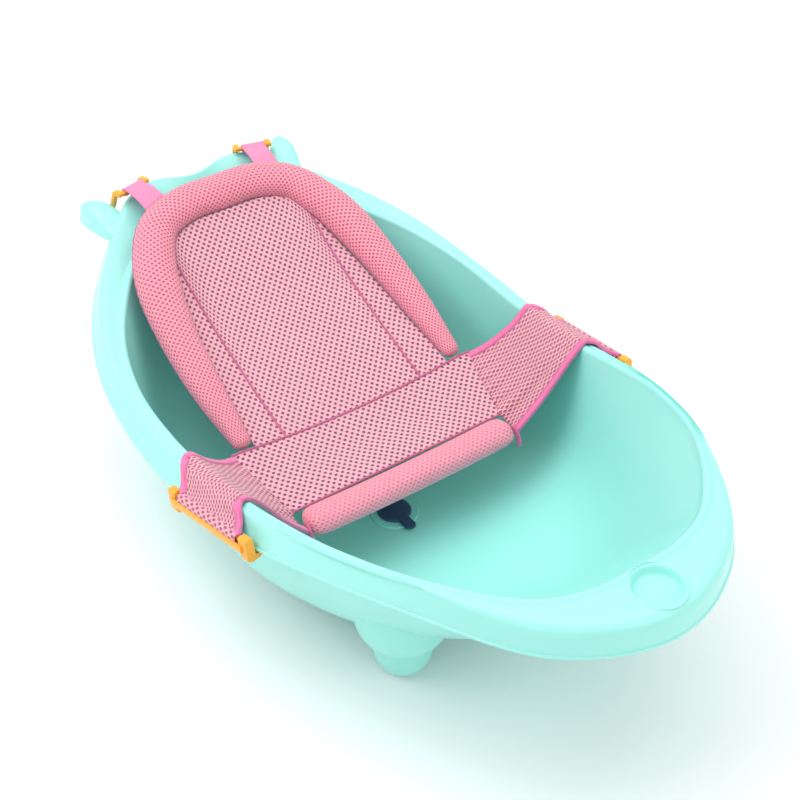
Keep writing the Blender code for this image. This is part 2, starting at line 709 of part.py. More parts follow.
def wing_column(v):
    """Points of a wing from the seat over the rim down to the clip's bar. v runs front to rear."""
    seat_y = (ROLL_SEAM_Y - 0.030) * (1 - v) + (SEAT_SEAM_Y - 0.004) * v
    seat_x = max(seat_half_width(seat_y), seat_half_width(ROLL_SEAM_Y)) + 0.0034
    start = np.array([seat_x, seat_y, max(sling_height(seat_x, seat_y), foot_roll_centre()[1])])
    rim_y = WING_RIM_Y[0] * (1 - v) + WING_RIM_Y[1] * v
    front, rear = side_bar_ends()
    bar = front * (1 - v) + rear * v
    basin_x = side_x(BASIN_EDGE, rim_y)
    corner_x = side_x(FLANGE_EDGE, rim_y) - FLARE_SIDE
    top = float(rim_height(rim_y))
    inside = np.array([basin_x - 0.0125, rim_y * 0.9 + seat_y * 0.1, top - 0.0125])
    middle = (start + inside) / 2 - np.array([0.0, 0.0, 0.004])
    over_y = rim_y * 0.75 + bar[1] * 0.25
    down_y = rim_y * 0.40 + bar[1] * 0.60
    down_x = side_x(FLANGE_EDGE, down_y) - FLARE_SIDE + 0.0075
    points = [start, middle, inside,
              (basin_x + 0.0030, rim_y, top + ROLL_HEIGHT + 0.0032),
              ((basin_x + corner_x) / 2 + 0.002, rim_y, top + 0.0046),
              (corner_x + 0.0005, over_y, float(rim_height(over_y)) + 0.0032),
              (down_x, down_y, float(rim_height(down_y)) - 0.0055),
              (bar[0], bar[1], bar[2] + SLEEVE_RADIUS - 0.0007)]
    return spline(points, 20)


def wing_grid(low, high, columns, skip_end=0):
    grid = np.array([wing_column(v) for v in np.linspace(low, high, columns)])
    if skip_end:
        grid = grid[:, :-skip_end]
    return grid


def sleeve(name, start, end, collection, guides):
    outer = tube(name, start, end, SLEEVE_RADIUS, None, collection, sides=18)
    along = (np.array(end) - np.array(start)) * 0.1
    bore = as_guide(tube(name + "_bore", start - along, end + along, SLEEVE_BORE, None, guides, sides=18))
    boolean(outer, bore, "DIFFERENCE")
    apply_modifiers(outer)
    return as_guide(outer)


def make_wings(mesh_material, tape_material, parts, guides):
    edge = 0.065
    gap = 0.010
    wing = grid_sheet("sling_wing_right", wing_grid(edge + gap, 1 - edge - gap, 7), mesh_material, parts)
    front, rear = side_bar_ends()
    span = rear - front
    hem = sleeve("wing_hem_form", front + span * (edge + gap), rear - span * (edge + gap), guides, guides)
    boolean(wing, hem, "UNION")
    apply_modifiers(wing)
    mirrored(wing, "sling_wing_left", parts)
    for place, low, high in (("front", 0.0, edge), ("rear", 1 - edge, 1.0)):
        strip = wing_grid(low, high, 2, 1)
        tape = grid_sheet("wing_tape_%s_right" % place, strip, tape_material, parts, 0.0040)
        mirrored(tape, "wing_tape_%s_left" % place, parts)


# ---------------------------------------------------------------- clips and straps
def bar_frame(start, end):
    """A frame with Y along the bar, X out of the tub and Z up."""
    along = Vector(end - start).normalized()
    out = along.cross(Vector((0.0, 0.0, 1.0))).normalized()
    up = out.cross(along)
    middle = Vector((start + end) / 2)
    frame = Matrix((out, along, up)).transposed().to_4x4()
    frame.translation = middle
    return frame


def make_clip(name, frame, half_length, block, block_half, material, parts, guides, rail=None):
    """A moulded clip: a round bar between two hooked end blocks. Its origin is on the bar's axis."""
    end = Vector((0.0, half_length + block_half, 0.0))
    clip = tube(name, frame @ -end, frame @ end, BAR_RADIUS, material, parts, sides=14)
    pieces = []
    for side in (-1, 1):
        place = frame @ Matrix.Translation((0.0, side * (half_length + block_half), 0.0))
        pieces.append(prism(name + "_block", block, place, block_half, None, guides))
    if rail:
        pieces.append(prism(name + "_rail", rail, frame, half_length + block_half, None, guides))
    for piece in pieces:
        boolean(clip, as_guide(piece), "UNION")
    apply_modifiers(clip)
    mirror_copy = mirrored(clip, name.replace("right", "left"), parts)
    for obj, sign in ((clip, 1.0), (mirror_copy, -1.0)):
        pivot = Vector((frame.translation.x * sign, frame.translation.y, frame.translation.z))
        obj.data.transform(Matrix.Translation(-pivot))
        obj.location = pivot


SIDE_BLOCK = [(0.0052, 0.0045), (0.0030, 0.0065), (-0.0028, 0.0065), (-0.0041, 0.0050), (-0.0041, -0.0130),
              (-0.0138, -0.0130), (-0.0146, -0.0144), (-0.0088, -0.0178), (0.0002, -0.0192), (0.0052, -0.0168)]
SIDE_RAIL = [(0.0050, -0.0084), (0.0077, -0.0084), (0.0077, -0.0012), (0.0050, -0.0012)]
HEAD_BLOCK = [(0.0075, 0.0026), (-0.0022, 0.0032), (-0.0030, 0.0008), (-0.0026, -0.0022), (0.0070, -0.0024),
              (0.0128, -0.0170), (0.0186, -0.0300), (0.0198, -0.0350), (0.0170, -0.0384), (0.0128, -0.0402),
              (0.0121, -0.0416), (0.0150, -0.0436), (0.0200, -0.0430), (0.0234, -0.0392), (0.0224, -0.0300),
              (0.0164, -0.0155), (0.0108, 0.0005)]


def make_side_clips(material, parts, guides):
    front, rear = side_bar_ends()
    half = float(np.linalg.norm(rear - front)) / 2 + 0.0046
    make_clip("side_clip_right", bar_frame(front, rear), half, SIDE_BLOCK, SIDE_BLOCK_HALF, material, parts, guides,
              SIDE_RAIL)


def head_bar_frame():
    middle = np.array(HEAD_BAR)
    half = np.array([math.cos(HEAD_BAR_TURN), -math.sin(HEAD_BAR_TURN), 0.0]) * HEAD_CLIP_HALF
    return bar_frame(middle + half, middle - half)


def make_head_clips(material, parts, guides):
    make_clip("head_clip_right", head_bar_frame(), HEAD_CLIP_HALF - 0.004, HEAD_BLOCK, HEAD_BLOCK_HALF, material,
              parts, guides)


def bolster_outer_point(x, clearance):
    """A point just off the outside of the bolster's head end."""
    line = bolster_line(300)
    line = line[(np.abs(line[:, 0]) < 0.11) & (line[:, 1] > 0.28)]
    along = np.gradient(line[:, :2], axis=0)
    along /= np.linalg.norm(along, axis=1)[:, None]
    out = np.column_stack([-along[:, 1], along[:, 0]])
    out = out * np.sign(out[:, 1])[:, None]
    edge = line[:, :2] + out * (line[:, 2] + clearance)[:, None]
    order = np.argsort(edge[:, 0])
    y = float(np.interp(x, edge[order, 0], edge[order, 1]))
    centre_y = float(np.interp(x, edge[order, 0], line[order, 1]))
    slope = 0.25 + 2 * BACK_CURVE * (centre_y + 0.007)
    return Vector((x, y, back_height(centre_y) + BOLSTER_LIFT + slope * (y - centre_y)))


def make_straps(material, parts, guides):
    frame = head_bar_frame()
    columns = []
    for share in (-0.5, 0.0, 0.5):
        bar_point = frame @ Vector((0.0, -STRAP_WIDTH * share, SLEEVE_RADIUS - 0.0007))
        start = bolster_outer_point(frame.translation.x - 0.006 + STRAP_WIDTH * share, 0.0026)
        rise = Vector((0.0, 0.0, 0.0015))
        points = [start, start.lerp(bar_point, 0.33) + rise, start.lerp(bar_point, 0.70) + rise, bar_point]
        columns.append(spline([tuple(point) for point in points], 9))
    strap = grid_sheet("head_strap_right", np.array(columns), material, parts, 0.0024)
    end = Vector((0.0, STRAP_WIDTH / 2, 0.0))
    hem = sleeve("strap_loop_form", np.array(frame @ -end), np.array(frame @ end), guides, guides)
    boolean(strap, hem, "UNION")
    apply_modifiers(strap)
    mirrored(strap, "head_strap_left", parts)


def main():
    clear_scene()
    parts = bpy.data.collections.new("baby_bathtub")
    guides = bpy.data.collections.new("guides")
    bpy.context.scene.collection.children.link(parts)
    bpy.context.scene.collection.children.link(guides)
    mint = make_material("mint_plastic", MINT, 0.22)
    navy = make_material("navy_silicone", NAVY, 0.45)
    mesh = make_material("pink_mesh", PINK_MESH, 0.85)
    pad = make_material("pink_padding", PINK_PAD, 0.85)
    tape = make_material("pink_tape", PINK_TAPE, 0.75)
    orange = make_material("orange_plastic", ORANGE, 0.35)
    rubber = make_material("black_rubber", RUBBER, 0.70)
    make_tub(mint, parts, guides)
    make_foot_caps(mint, parts, guides)
    make_drain(mint, rubber, parts)
    make_plug(navy, parts, guides)
    make_bolster(pad, parts)
    make_back_and_seat(mesh, parts)
    make_foot_roll(pad, tape, parts)
    make_wings(mesh, tape, parts, guides)
    make_side_clips(orange, parts, guides)
    make_head_clips(orange, parts, guides)
    make_straps(tape, parts, guides)


main()
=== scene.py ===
"""Looks for the baby bathtub: a glossy moulded tub, a mesh sling with padded edges, its clips, and the drain.

Metres, +Z up, in the CAD frame. The head end with the two ears points to +Y.
"""
import math

import bmesh
import bpy
import numpy as np
from mathutils import Matrix, Vector, noise


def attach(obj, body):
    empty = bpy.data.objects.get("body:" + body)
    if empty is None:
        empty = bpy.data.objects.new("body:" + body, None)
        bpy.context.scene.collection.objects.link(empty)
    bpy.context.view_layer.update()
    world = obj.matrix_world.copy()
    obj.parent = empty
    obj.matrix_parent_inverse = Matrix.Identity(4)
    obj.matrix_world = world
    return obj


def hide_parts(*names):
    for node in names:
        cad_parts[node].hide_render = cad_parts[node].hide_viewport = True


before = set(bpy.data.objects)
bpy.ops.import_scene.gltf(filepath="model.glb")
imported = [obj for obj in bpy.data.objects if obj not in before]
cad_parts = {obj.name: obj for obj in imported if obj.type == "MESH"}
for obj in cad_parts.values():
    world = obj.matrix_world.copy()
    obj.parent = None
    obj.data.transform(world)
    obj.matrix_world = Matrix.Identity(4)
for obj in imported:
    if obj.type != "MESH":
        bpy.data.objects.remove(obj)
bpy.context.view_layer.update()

# ---- tub, as in the CAD ----
WALL = 0.0025
STATIONS = 288
RIM_LOW = 0.172
RIM_LOW_Y = 0.060
FOOT_RISE = 0.071
FOOT_RISE_LENGTH = 0.384
HEAD_RISE = 0.0664
HEAD_RISE_LENGTH = 0.336
SKIRT_SIDE = 0.028
SKIRT_FOOT = 0.033
FLARE_SIDE = 0.012
FLARE_FOOT = 0.004
BEAD = 0.0012
BEAD_HEIGHT = 0.003
ROLL_HEIGHT = 0.0022
ROLL_WIDTH = 0.009
FLOOR_Z = 0.020
BASIN_DEPTHS = [0.0, 0.035, 0.075, 0.12, 0.2, 0.28, 0.36, 0.44, 0.52, 0.59, 0.66, 0.72, 0.78, 0.83, 0.87, 0.91,
                0.94, 0.965, 0.98]
FLANGE_EDGE = [(0.0, 0.4065), (0.044, 0.4150), (0.088, 0.4060), (0.1335, 0.3645), (0.188, 0.2945),
               (0.221, 0.215), (0.2345, 0.120), (0.2345, 0.040), (0.2285, -0.060), (0.213, -0.160),
               (0.182, -0.260), (0.124, -0.364), (0.066, -0.412), (0.0, -0.430)]
BASIN_EDGE = [(0.0, 0.366), (0.055, 0.354), (0.104, 0.325), (0.151, 0.274), (0.184, 0.218),
              (0.203, 0.150), (0.207, 0.075), (0.2035, -0.010), (0.1985, -0.100), (0.186, -0.192),
              (0.155, -0.276), (0.100, -0.343), (0.046, -0.366), (0.0, -0.367)]
EAR_CENTRE = (0.1110, 0.3700)
EAR_TURN = math.radians(19)
EAR_LONG = 0.0605
EAR_SHORT = 0.0185
EAR_HEIGHT = 0.029
EAR_BASE = 0.2144
RECESS_Y = -0.396
RECESS_RADIUS = 0.0255
RECESS_DEPTH = 0.008
LEG_PLACES = {"front_left": (-0.104, -0.176), "front_right": (0.104, -0.176),
              "rear_left": (-0.110, 0.165), "rear_right": (0.110, 0.165)}
LEG_RADIUS = 0.0315
LEG_SEAM_Z = 0.0480
LEG_FLARE = [(0.0, 0.0), (0.0015, 0.0018), (0.0045, 0.0042), (0.0085, 0.0072), (0.0120, 0.0110),
             (0.0150, 0.0170), (0.0170, 0.0260), (0.0180, 0.0420), (0.0170, 0.0560), (0.0120, 0.0680),
             (0.0020, 0.0760)]
FOOT_FLAT = 0.011
DRAIN_Y = -0.012
DRAIN_HOLE = 0.0205
SEAT_RADIUS = 0.0265
SEAT_BORE = 0.0150
PLUG_RADIUS = 0.0185

# ---- sling, as in the CAD ----
SEAT_LEVEL = 0.105
BACK_CURVE = 0.42
SEAT_SEAM_Y = 0.062
ROLL_SEAM_Y = -0.0226
BACK_SEAM_X = 0.087
FOOT_ROLL_DEPTH = 0.0190
FOOT_ROLL_THICKNESS = 0.0125
FOOT_ROLL_HALF = 0.1290
BOLSTER_PATH = [(0.0, 0.3385, 0.0216), (0.045, 0.3375, 0.0216), (0.083, 0.3245, 0.0220), (0.106, 0.2960, 0.0238),
                (0.1215, 0.2570, 0.0246), (0.131, 0.2000, 0.0215), (0.1345, 0.1350, 0.0175), (0.1345, 0.0725, 0.0105)]
BOLSTER_LIFT = 0.0032
BOLSTER_FLATNESS = 0.76
BAR_RADIUS = 0.0025
SLEEVE_RADIUS = 0.0047
WING_RIM_Y = (-0.066, 0.037)
WING_BAR_Y = (-0.094, 0.004)
SIDE_BAR_OUT = 0.0056
SIDE_BAR_DOWN = 0.016
HEAD_BAR = (0.0785, 0.3915, 0.2515)
HEAD_BAR_TURN = math.radians(15)
HEAD_CLIP_HALF = 0.020
STRAP_WIDTH = 0.027


# ---------------------------------------------------------------- curves
def spline(points, count, closed=False):
    """Catmull-Rom curve through the points, evenly spaced by the points' own index."""
    points = np.asarray(points, float)
    if closed:
        padded = np.vstack([points[-1], points, points[0], points[1]])
        spans = len(points)
    else:
        padded = np.vstack([2 * points[0] - points[1], points, 2 * points[-1] - points[-2]])
        spans = len(points) - 1
    curve = []
    for place in np.linspace(0, spans, count, endpoint=not closed):
        index = min(int(place), spans - 1)
        t = place - index
        a, b, c, d = padded[index:index + 4]
        curve.append(0.5 * (2 * b + (c - a) * t + (2 * a - 5 * b + 4 * c - d) * t ** 2
                            + (3 * b - a - 3 * c + d) * t ** 3))
    return np.array(curve)


def lengths_of(curve):
    steps = np.linalg.norm(np.diff(curve, axis=0), axis=1)
    return np.concatenate([[0], np.cumsum(steps)])


def by_length(curve, count):
    """The same curve with evenly spaced points."""
    length = lengths_of(curve[:, :3])
    places = np.linspace(0, length[-1], count)
    return np.column_stack([np.interp(places, length, column) for column in curve.T])


def full_outline(half):
    left = [(-x, y) for x, y in half[1:-1]][::-1]
    return spline(list(half) + left, 2400, closed=True)


def at_angles(outline, angles):
    """Points where rays from the middle of the tub cross an outline. Angle 0 is the head end."""
    bearing = np.unwrap(np.arctan2(outline[:, 0], outline[:, 1]))
    order = np.argsort(bearing)
    radius = np.hypot(outline[:, 0], outline[:, 1])[order]
    found = np.interp(angles, bearing[order], radius, period=2 * math.pi)
    return np.column_stack([found * np.sin(angles), found * np.cos(angles)])


def outward(ring):
    """Unit outward normals of a closed ring that runs clockwise seen from above."""
    along = np.roll(ring, -1, axis=0) - np.roll(ring, 1, axis=0)
    normal = np.column_stack([-along[:, 1], along[:, 0]])
    return normal / np.linalg.norm(normal, axis=1)[:, None]


def smoothstep(value):
    value = np.clip(value, 0.0, 1.0)
    return value * value * (3 - 2 * value)


# ---------------------------------------------------------------- meshes
def mesh_object(name, vertices, faces, material=None, smooth=180, uvs=None):
    """One object. uvs holds one (u, v) per face corner, in metres of cloth."""
    mesh = bpy.data.meshes.new(name)
    mesh.from_pydata([tuple(v) for v in vertices], [], faces)
    obj = bpy.data.objects.new(name, mesh)
    bpy.context.scene.collection.objects.link(obj)
    if material:
        mesh.materials.append(material)
    mesh.polygons.foreach_set("use_smooth", [True] * len(mesh.polygons))
    if uvs is not None:
        layer = mesh.uv_layers.new(name="cloth")
        layer.data.foreach_set("uv", np.asarray(uvs, np.float32).ravel())
    if smooth < 180:
        mesh.set_sharp_from_angle(angle=math.radians(smooth))
    return obj


def outward_faces(obj):
    work = bmesh.new()
    work.from_mesh(obj.data)
    bmesh.ops.recalc_face_normals(work, faces=work.faces)
    work.to_mesh(obj.data)
    work.free()
    return obj


def grid_mesh(name, grid, material, closed=False, capped=False, uv=None, smooth=180):
    """A skin over rows of points. uv is an array of (rows, columns [+ 1 if closed], 2)."""
    rows, columns = grid.shape[:2]
    vertices = grid.reshape(-1, 3)
    wrap = columns if closed else columns - 1
    faces = []
    corners = []
    for i in range(rows - 1):
        for j in range(wrap):
            k = (j + 1) % columns
            faces.append((i * columns + j, i * columns + k, (i + 1) * columns + k, (i + 1) * columns + j))
            if uv is not None:
                corners += [uv[i, j], uv[i, j + 1], uv[i + 1, j + 1], uv[i + 1, j]]
    if capped:
        for row, order in ((0, range(columns - 1, -1, -1)), (rows - 1, range(columns))):
            faces.append(tuple(row * columns + j for j in order))
            if uv is not None:
                corners += [uv[row, j] for j in order]
    return mesh_object(name, vertices, faces, material, smooth, corners if uv is not None else None)


def cloth_uv(grid):
    """Metres across (from the middle column) and along each row and column of a sheet."""
    rows, columns = grid.shape[:2]
    uv = np.zeros((rows, columns, 2))
    for i in range(rows):
        across = lengths_of(grid[i])
        uv[i, :, 0] = across - across[columns // 2]
    for j in range(columns):
        uv[:, j, 1] = lengths_of(grid[:, j])
    return uv


def solidify(obj, thickness, offset=0.0):
    modifier = obj.modifiers.new("thickness", "SOLIDIFY")
    modifier.thickness = thickness
    modifier.offset = offset
    return obj


def boolean(obj, other, operation):
    modifier = obj.modifiers.new(operation.lower(), "BOOLEAN")
    modifier.object = other
    modifier.operation = operation
    modifier.solver = "EXACT"
    apply_modifiers(obj)
    bpy.data.objects.remove(other)


def apply_modifiers(obj):
    graph = bpy.context.evaluated_depsgraph_get()
    mesh = bpy.data.meshes.new_from_object(obj.evaluated_get(graph), depsgraph=graph)
    obj.modifiers.clear()
    obj.data = mesh


def sharpen(obj, angle):
    obj.data.polygons.foreach_set("use_smooth", [True] * len(obj.data.polygons))
    obj.data.set_sharp_from_angle(angle=math.radians(angle))


def mirrored(obj, name):
    """A copy of an object on the other side of the X = 0 plane."""
    copy = bpy.data.objects.new(name, obj.data.copy())
    bpy.context.scene.collection.objects.link(copy)
    copy.data.transform(Matrix.Diagonal((-1.0, 1.0, 1.0, 1.0)) @ obj.matrix_world)
    copy.data.flip_normals()
    for modifier in obj.modifiers:
        if modifier.type == "SOLIDIFY":
            solidify(copy, modifier.thickness, modifier.offset)
    return copy


def revolved(name, profile, centre, material, steps, closed, smooth=35):
    """A ring from a closed section, or a solid with flat ends from an open one."""
    grid = np.zeros((len(profile) + (1 if closed else 0), steps, 3))
    outline = list(profile) + ([profile[0]] if closed else [])
    for i, (radius, z) in enumerate(outline):
        for j in range(steps):
            turn = 2 * math.pi * j / steps
            grid[i, j] = (centre[0] + radius * math.cos(turn), centre[1] + radius * math.sin(turn), z)
    obj = grid_mesh(name, grid, material, closed=True, capped=not closed)
    if closed:
        weld(obj)
    outward_faces(obj)
    sharpen(obj, smooth)
    return obj


def weld(obj, distance=0.000001):
    work = bmesh.new()
    work.from_mesh(obj.data)
    bmesh.ops.remove_doubles(work, verts=work.verts, dist=distance)
    work.to_mesh(obj.data)
    work.free()


def rounded_profile(points, radius, steps=5):
    """A closed outline with each corner rounded."""
    points = [np.array(p, float) for p in points]
    outline = []
    for index, corner in enumerate(points):
        before = points[index - 1] - corner
        after = points[(index + 1) % len(points)] - corner
        reach = min(radius, np.linalg.norm(before) * 0.45, np.linalg.norm(after) * 0.45)
        start = corner + before / np.linalg.norm(before) * reach
        end = corner + after / np.linalg.norm(after) * reach
        for t in np.linspace(0, 1, steps):
            outline.append((1 - t) ** 2 * start + 2 * t * (1 - t) * corner + t * t * end)
    return outline


def sweep(points, section, up):
    """A grid that carries a closed section along points. up gives the section's second axis at each point."""
    points = np.asarray(points, float)
    along = np.gradient(points, axis=0)
    along /= np.linalg.norm(along, axis=1)[:, None]
    grid = np.zeros((len(points), len(section), 3))
    for i, (point, forward) in enumerate(zip(points, along)):
        normal = np.array(up(i), float)
        across = np.cross(forward, normal)
        across /= np.linalg.norm(across)
        normal = np.cross(across, forward)
        for j, (a, b) in enumerate(section):
            grid[i, j] = point + across * a + normal * b
    return grid


def circle(radius, sides, flat=1.0):
    return [(radius * math.cos(2 * math.pi * k / sides), radius * flat * math.sin(2 * math.pi * k / sides))
            for k in range(sides)]


def tube_uv(grid, around):
    """Metres along the tube as v and round it as u, for a closed section."""
    rows, columns = grid.shape[:2]
    along = lengths_of(grid.mean(axis=1))
    uv = np.zeros((rows, columns + 1, 2))
    uv[:, :, 0] = np.linspace(0, around, columns + 1)[None, :]
    uv[:, :, 1] = along[:, None]
    return uv


# ---------------------------------------------------------------- materials
class Shader:
    """A material and short ways to add nodes to it."""

    def __init__(self, name, roughness, **sockets):
        self.material = bpy.data.materials.new(name)
        self.material.use_nodes = True
        self.tree = self.material.node_tree
        self.bsdf = self.tree.nodes["Principled BSDF"]
        self.bsdf.inputs["Roughness"].default_value = roughness
        for socket, value in sockets.items():
            self.bsdf.inputs[socket.replace("_", " ")].default_value = value

    def feed(self, socket, value):
        if isinstance(value, bpy.types.NodeSocket):
            self.tree.links.new(value, socket)
        else:
            socket.default_value = value

    def math(self, operation, *values):
        node = self.tree.nodes.new("ShaderNodeMath")
        node.operation = operation
        for socket, value in zip(node.inputs, values):
            self.feed(socket, value)
        return node.outputs[0]

    def ramp(self, value, low, high, start=0.0, end=1.0):
        """value carried smoothly from low..high to start..end."""
        node = self.tree.nodes.new("ShaderNodeMapRange")
        node.interpolation_type = "SMOOTHSTEP"
        for socket, given in zip(node.inputs, (value, low, high, start, end)):
            self.feed(socket, given)
        return node.outputs[0]

    def mix(self, share, first, second):
        node = self.tree.nodes.new("ShaderNodeMix")
        node.data_type = "RGBA"
        self.feed(node.inputs["Factor"], share)
        self.feed(node.inputs["A"], first)
        self.feed(node.inputs["B"], second)
        return node.outputs["Result"]

    def grain(self, size, detail=3.0):
        """Noise with features of about this size in metres."""
        place = self.tree.nodes.new("ShaderNodeTexCoord")
        node = self.tree.nodes.new("ShaderNodeTexNoise")
        self.tree.links.new(place.outputs["Object"], node.inputs["Vector"])
        node.inputs["Scale"].default_value = 1.0 / size
        node.inputs["Detail"].default_value = detail
        return node.outputs["Fac"]

    def cloth_axes(self):
        place = self.tree.nodes.new("ShaderNodeUVMap")
        place.uv_map = "cloth"
        split = self.tree.nodes.new("ShaderNodeSeparateXYZ")
        self.tree.links.new(place.outputs["UV"], split.inputs[0])
        return split.outputs["X"], split.outputs["Y"]

    def bump(self, height, distance, strength=1.0):
        node = self.tree.nodes.new("ShaderNodeBump")
        node.inputs["Distance"].default_value = distance
        node.inputs["Strength"].default_value = strength
        self.tree.links.new(height, node.inputs["Height"])
        self.tree.links.new(node.outputs["Normal"], self.bsdf.inputs["Normal"])

    def colour(self, value):
        self.feed(self.bsdf.inputs["Base Color"], value)

    def rough(self, value):
        self.feed(self.bsdf.inputs["Roughness"], value)


def shade(colour, factor):
    return tuple(min(1.0, channel * factor) for channel in colour[:3]) + (1.0,)


def moulded(name, colour, roughness, variation=0.05, **sockets):
    """Injection-moulded plastic: nearly even colour, faint surface grain, slightly uneven gloss."""
    shader = Shader(name, roughness, **sockets)
    cloud = shader.grain(0.09, 2.0)
    shader.colour(shader.mix(cloud, shade(colour, 1 - variation), shade(colour, 1 + variation)))
    shader.rough(shader.ramp(shader.grain(0.25, 1.0), 0.3, 0.7, roughness * 0.96, roughness * 1.05))
    return shader.material


def air_mesh(name, colour, hole_shade_colour, pitch, hole, depth=0.0009, soft=0.25):
    """Knitted spacer mesh: staggered oval holes with raised rims between fine knitted ribs. The holes are filled with
    painted shade, and the rims carry a painted highlight.
    """
    shader = Shader(name, 0.82, Sheen_Weight=0.35, Sheen_Roughness=0.5)
    across, along = shader.cloth_axes()
    u = shader.math("DIVIDE", across, pitch[0])
    v = shader.math("DIVIDE", along, pitch[1])
    odd = shader.math("FLOORED_MODULO", shader.math("FLOOR", v), 2.0)
    u = shader.math("ADD", u, shader.math("MULTIPLY", odd, 0.5))
    cell_u = shader.math("SUBTRACT", shader.math("FRACT", u), 0.5)
    cell_v = shader.math("SUBTRACT", shader.math("FRACT", v), 0.5)
    wobble = shader.math("MULTIPLY", shader.math("SUBTRACT", shader.grain(0.005), 0.5), 0.5)
    reach_u = shader.math("MULTIPLY", cell_u, pitch[0] / hole[0])
    reach_v = shader.math("MULTIPLY", cell_v, pitch[1] / hole[1])
    squared = shader.math("ADD", shader.math("POWER", reach_u, 2.0), shader.math("POWER", reach_v, 2.0))
    far = shader.math("ADD", shader.math("SQRT", squared), wobble)
    inside = shader.ramp(far, 1.0 + soft, 1.0 - soft)
    rim = shader.math("MULTIPLY", shader.ramp(far, 1.15, 1.45), shader.ramp(far, 2.1, 1.5))
    knit = shader.math("SINE", shader.math("MULTIPLY", across, 2 * math.pi / 0.0011))
    cross = shader.math("SINE", shader.math("MULTIPLY", along, 2 * math.pi / 0.0014))
    knit = shader.math("MULTIPLY", knit, cross)
    tone = shader.mix(shader.grain(0.035), shade(colour, 0.93), shade(colour, 1.06))
    # Painted highlight: the raised rims round the holes are painted lighter.
    tone = shader.mix(shader.math("MULTIPLY", rim, 0.35), tone, shade(colour, 1.22))
    # Painted shade: the holes are painted dark in place of the shaded tub seen through them and the shade inside
    # them.
    shader.colour(shader.mix(inside, tone, hole_shade_colour))
    height = shader.math("SUBTRACT", shader.math("MULTIPLY", rim, 0.35), inside)
    height = shader.math("ADD", height, shader.math("MULTIPLY", knit, 0.06))
    shader.bump(height, depth)
    return shader.material


def woven_tape(name, colour, rib=0.0013):
    """Folded edge tape or webbing with fine ribs across it."""
    shader = Shader(name, 0.62, Sheen_Weight=0.45, Sheen_Roughness=0.4)
    across, along = shader.cloth_axes()
    ribs = shader.math("SINE", shader.math("MULTIPLY", along, 2 * math.pi / rib))
    yarn = shader.math("SINE", shader.math("MULTIPLY", across, 2 * math.pi / (rib * 0.7)))
    weave = shader.math("MULTIPLY", ribs, yarn)
    tone = shader.mix(shader.grain(0.02), shade(colour, 0.92), shade(colour, 1.06))
    shader.colour(shader.mix(shader.ramp(weave, -1.0, 1.0, 0.0, 0.35), tone, shade(colour, 0.80)))
    shader.bump(weave, 0.00018)
    return shader.material


MINT = (0.350, 0.840, 0.765)
PINK = (0.900, 0.395, 0.480)
PAD = (0.905, 0.300, 0.390)
TAPE = (0.930, 0.190, 0.440)
STRAP = (0.950, 0.270, 0.500)
ORANGE = (0.960, 0.420, 0.035)
NAVY = (0.040, 0.072, 0.150)

mint = moulded("mint_gloss", MINT, 0.26, 0.012, Specular_IOR_Level=0.5)
orange = moulded("orange_gloss", ORANGE, 0.33, 0.06)
navy = moulded("navy_silicone", NAVY, 0.42, 0.10)
rubber = moulded("black_rubber", (0.055, 0.055, 0.060), 0.72, 0.15)
# The second colour of each mesh is painted shade for its holes.
back_mesh = air_mesh("pink_mesh_back", PINK, (0.16, 0.085, 0.115, 1.0), (0.0078, 0.0044), (0.00160, 0.00150))
seat_mesh = air_mesh("pink_mesh_seat", PINK, (0.14, 0.085, 0.110, 1.0), (0.0080, 0.0042), (0.00170, 0.00140))
wing_mesh = air_mesh("pink_mesh_wing", PINK, (0.40, 0.105, 0.165, 1.0), (0.0050, 0.0048), (0.00110, 0.00230))
pad_mesh = air_mesh("pink_mesh_padding", PAD, (0.50, 0.085, 0.150, 1.0), (0.0066, 0.0030), (0.00115, 0.00125),
                    depth=0.0006, soft=0.35)
roll_mesh = air_mesh("pink_mesh_roll", PAD, (0.66, 0.16, 0.23, 1.0), (0.0066, 0.0030), (0.00110, 0.00115),
                     depth=0.0004, soft=0.45)
tape = woven_tape("pink_tape", TAPE)
strap_web = woven_tape("pink_webbing", STRAP, 0.0018)
thread = woven_tape("pink_thread", shade(TAPE, 0.90), 0.0006)


# ---------------------------------------------------------------- tub
def rim_height(y):
    foot = FOOT_RISE * smoothstep((RIM_LOW_Y - y) / FOOT_RISE_LENGTH)
    head = HEAD_RISE * np.maximum((y - RIM_LOW_Y) / HEAD_RISE_LENGTH, 0.0) ** 2
    return RIM_LOW + foot + head


def basin_ring(edge, depth, grow=0.0):
    """One level of the basin wall: depth 0 is the rim's inner edge and 1 is the floor."""
    bearing = np.arctan2(edge[:, 0], edge[:, 1])
    toward = np.cos(bearing)
    taper = 0.04 + np.where(toward < 0, 0.36, 0.24) * toward ** 2
    size = (1 - taper * depth) * (1 - depth ** 6) ** (1 / 3)
    ring = np.array([0.0, DRAIN_Y * depth ** 3]) + edge * size[:, None]
    ring = ring + outward(ring) * grow
    top = rim_height(edge[:, 1]) - 0.003
    return np.column_stack([ring, top * (1 - depth) + FLOOR_Z * depth - grow])


def tub_outlines(stations):
    angles = np.linspace(0, 2 * math.pi, stations, endpoint=False)
    return at_angles(full_outline(FLANGE_EDGE), angles), at_angles(full_outline(BASIN_EDGE), angles)


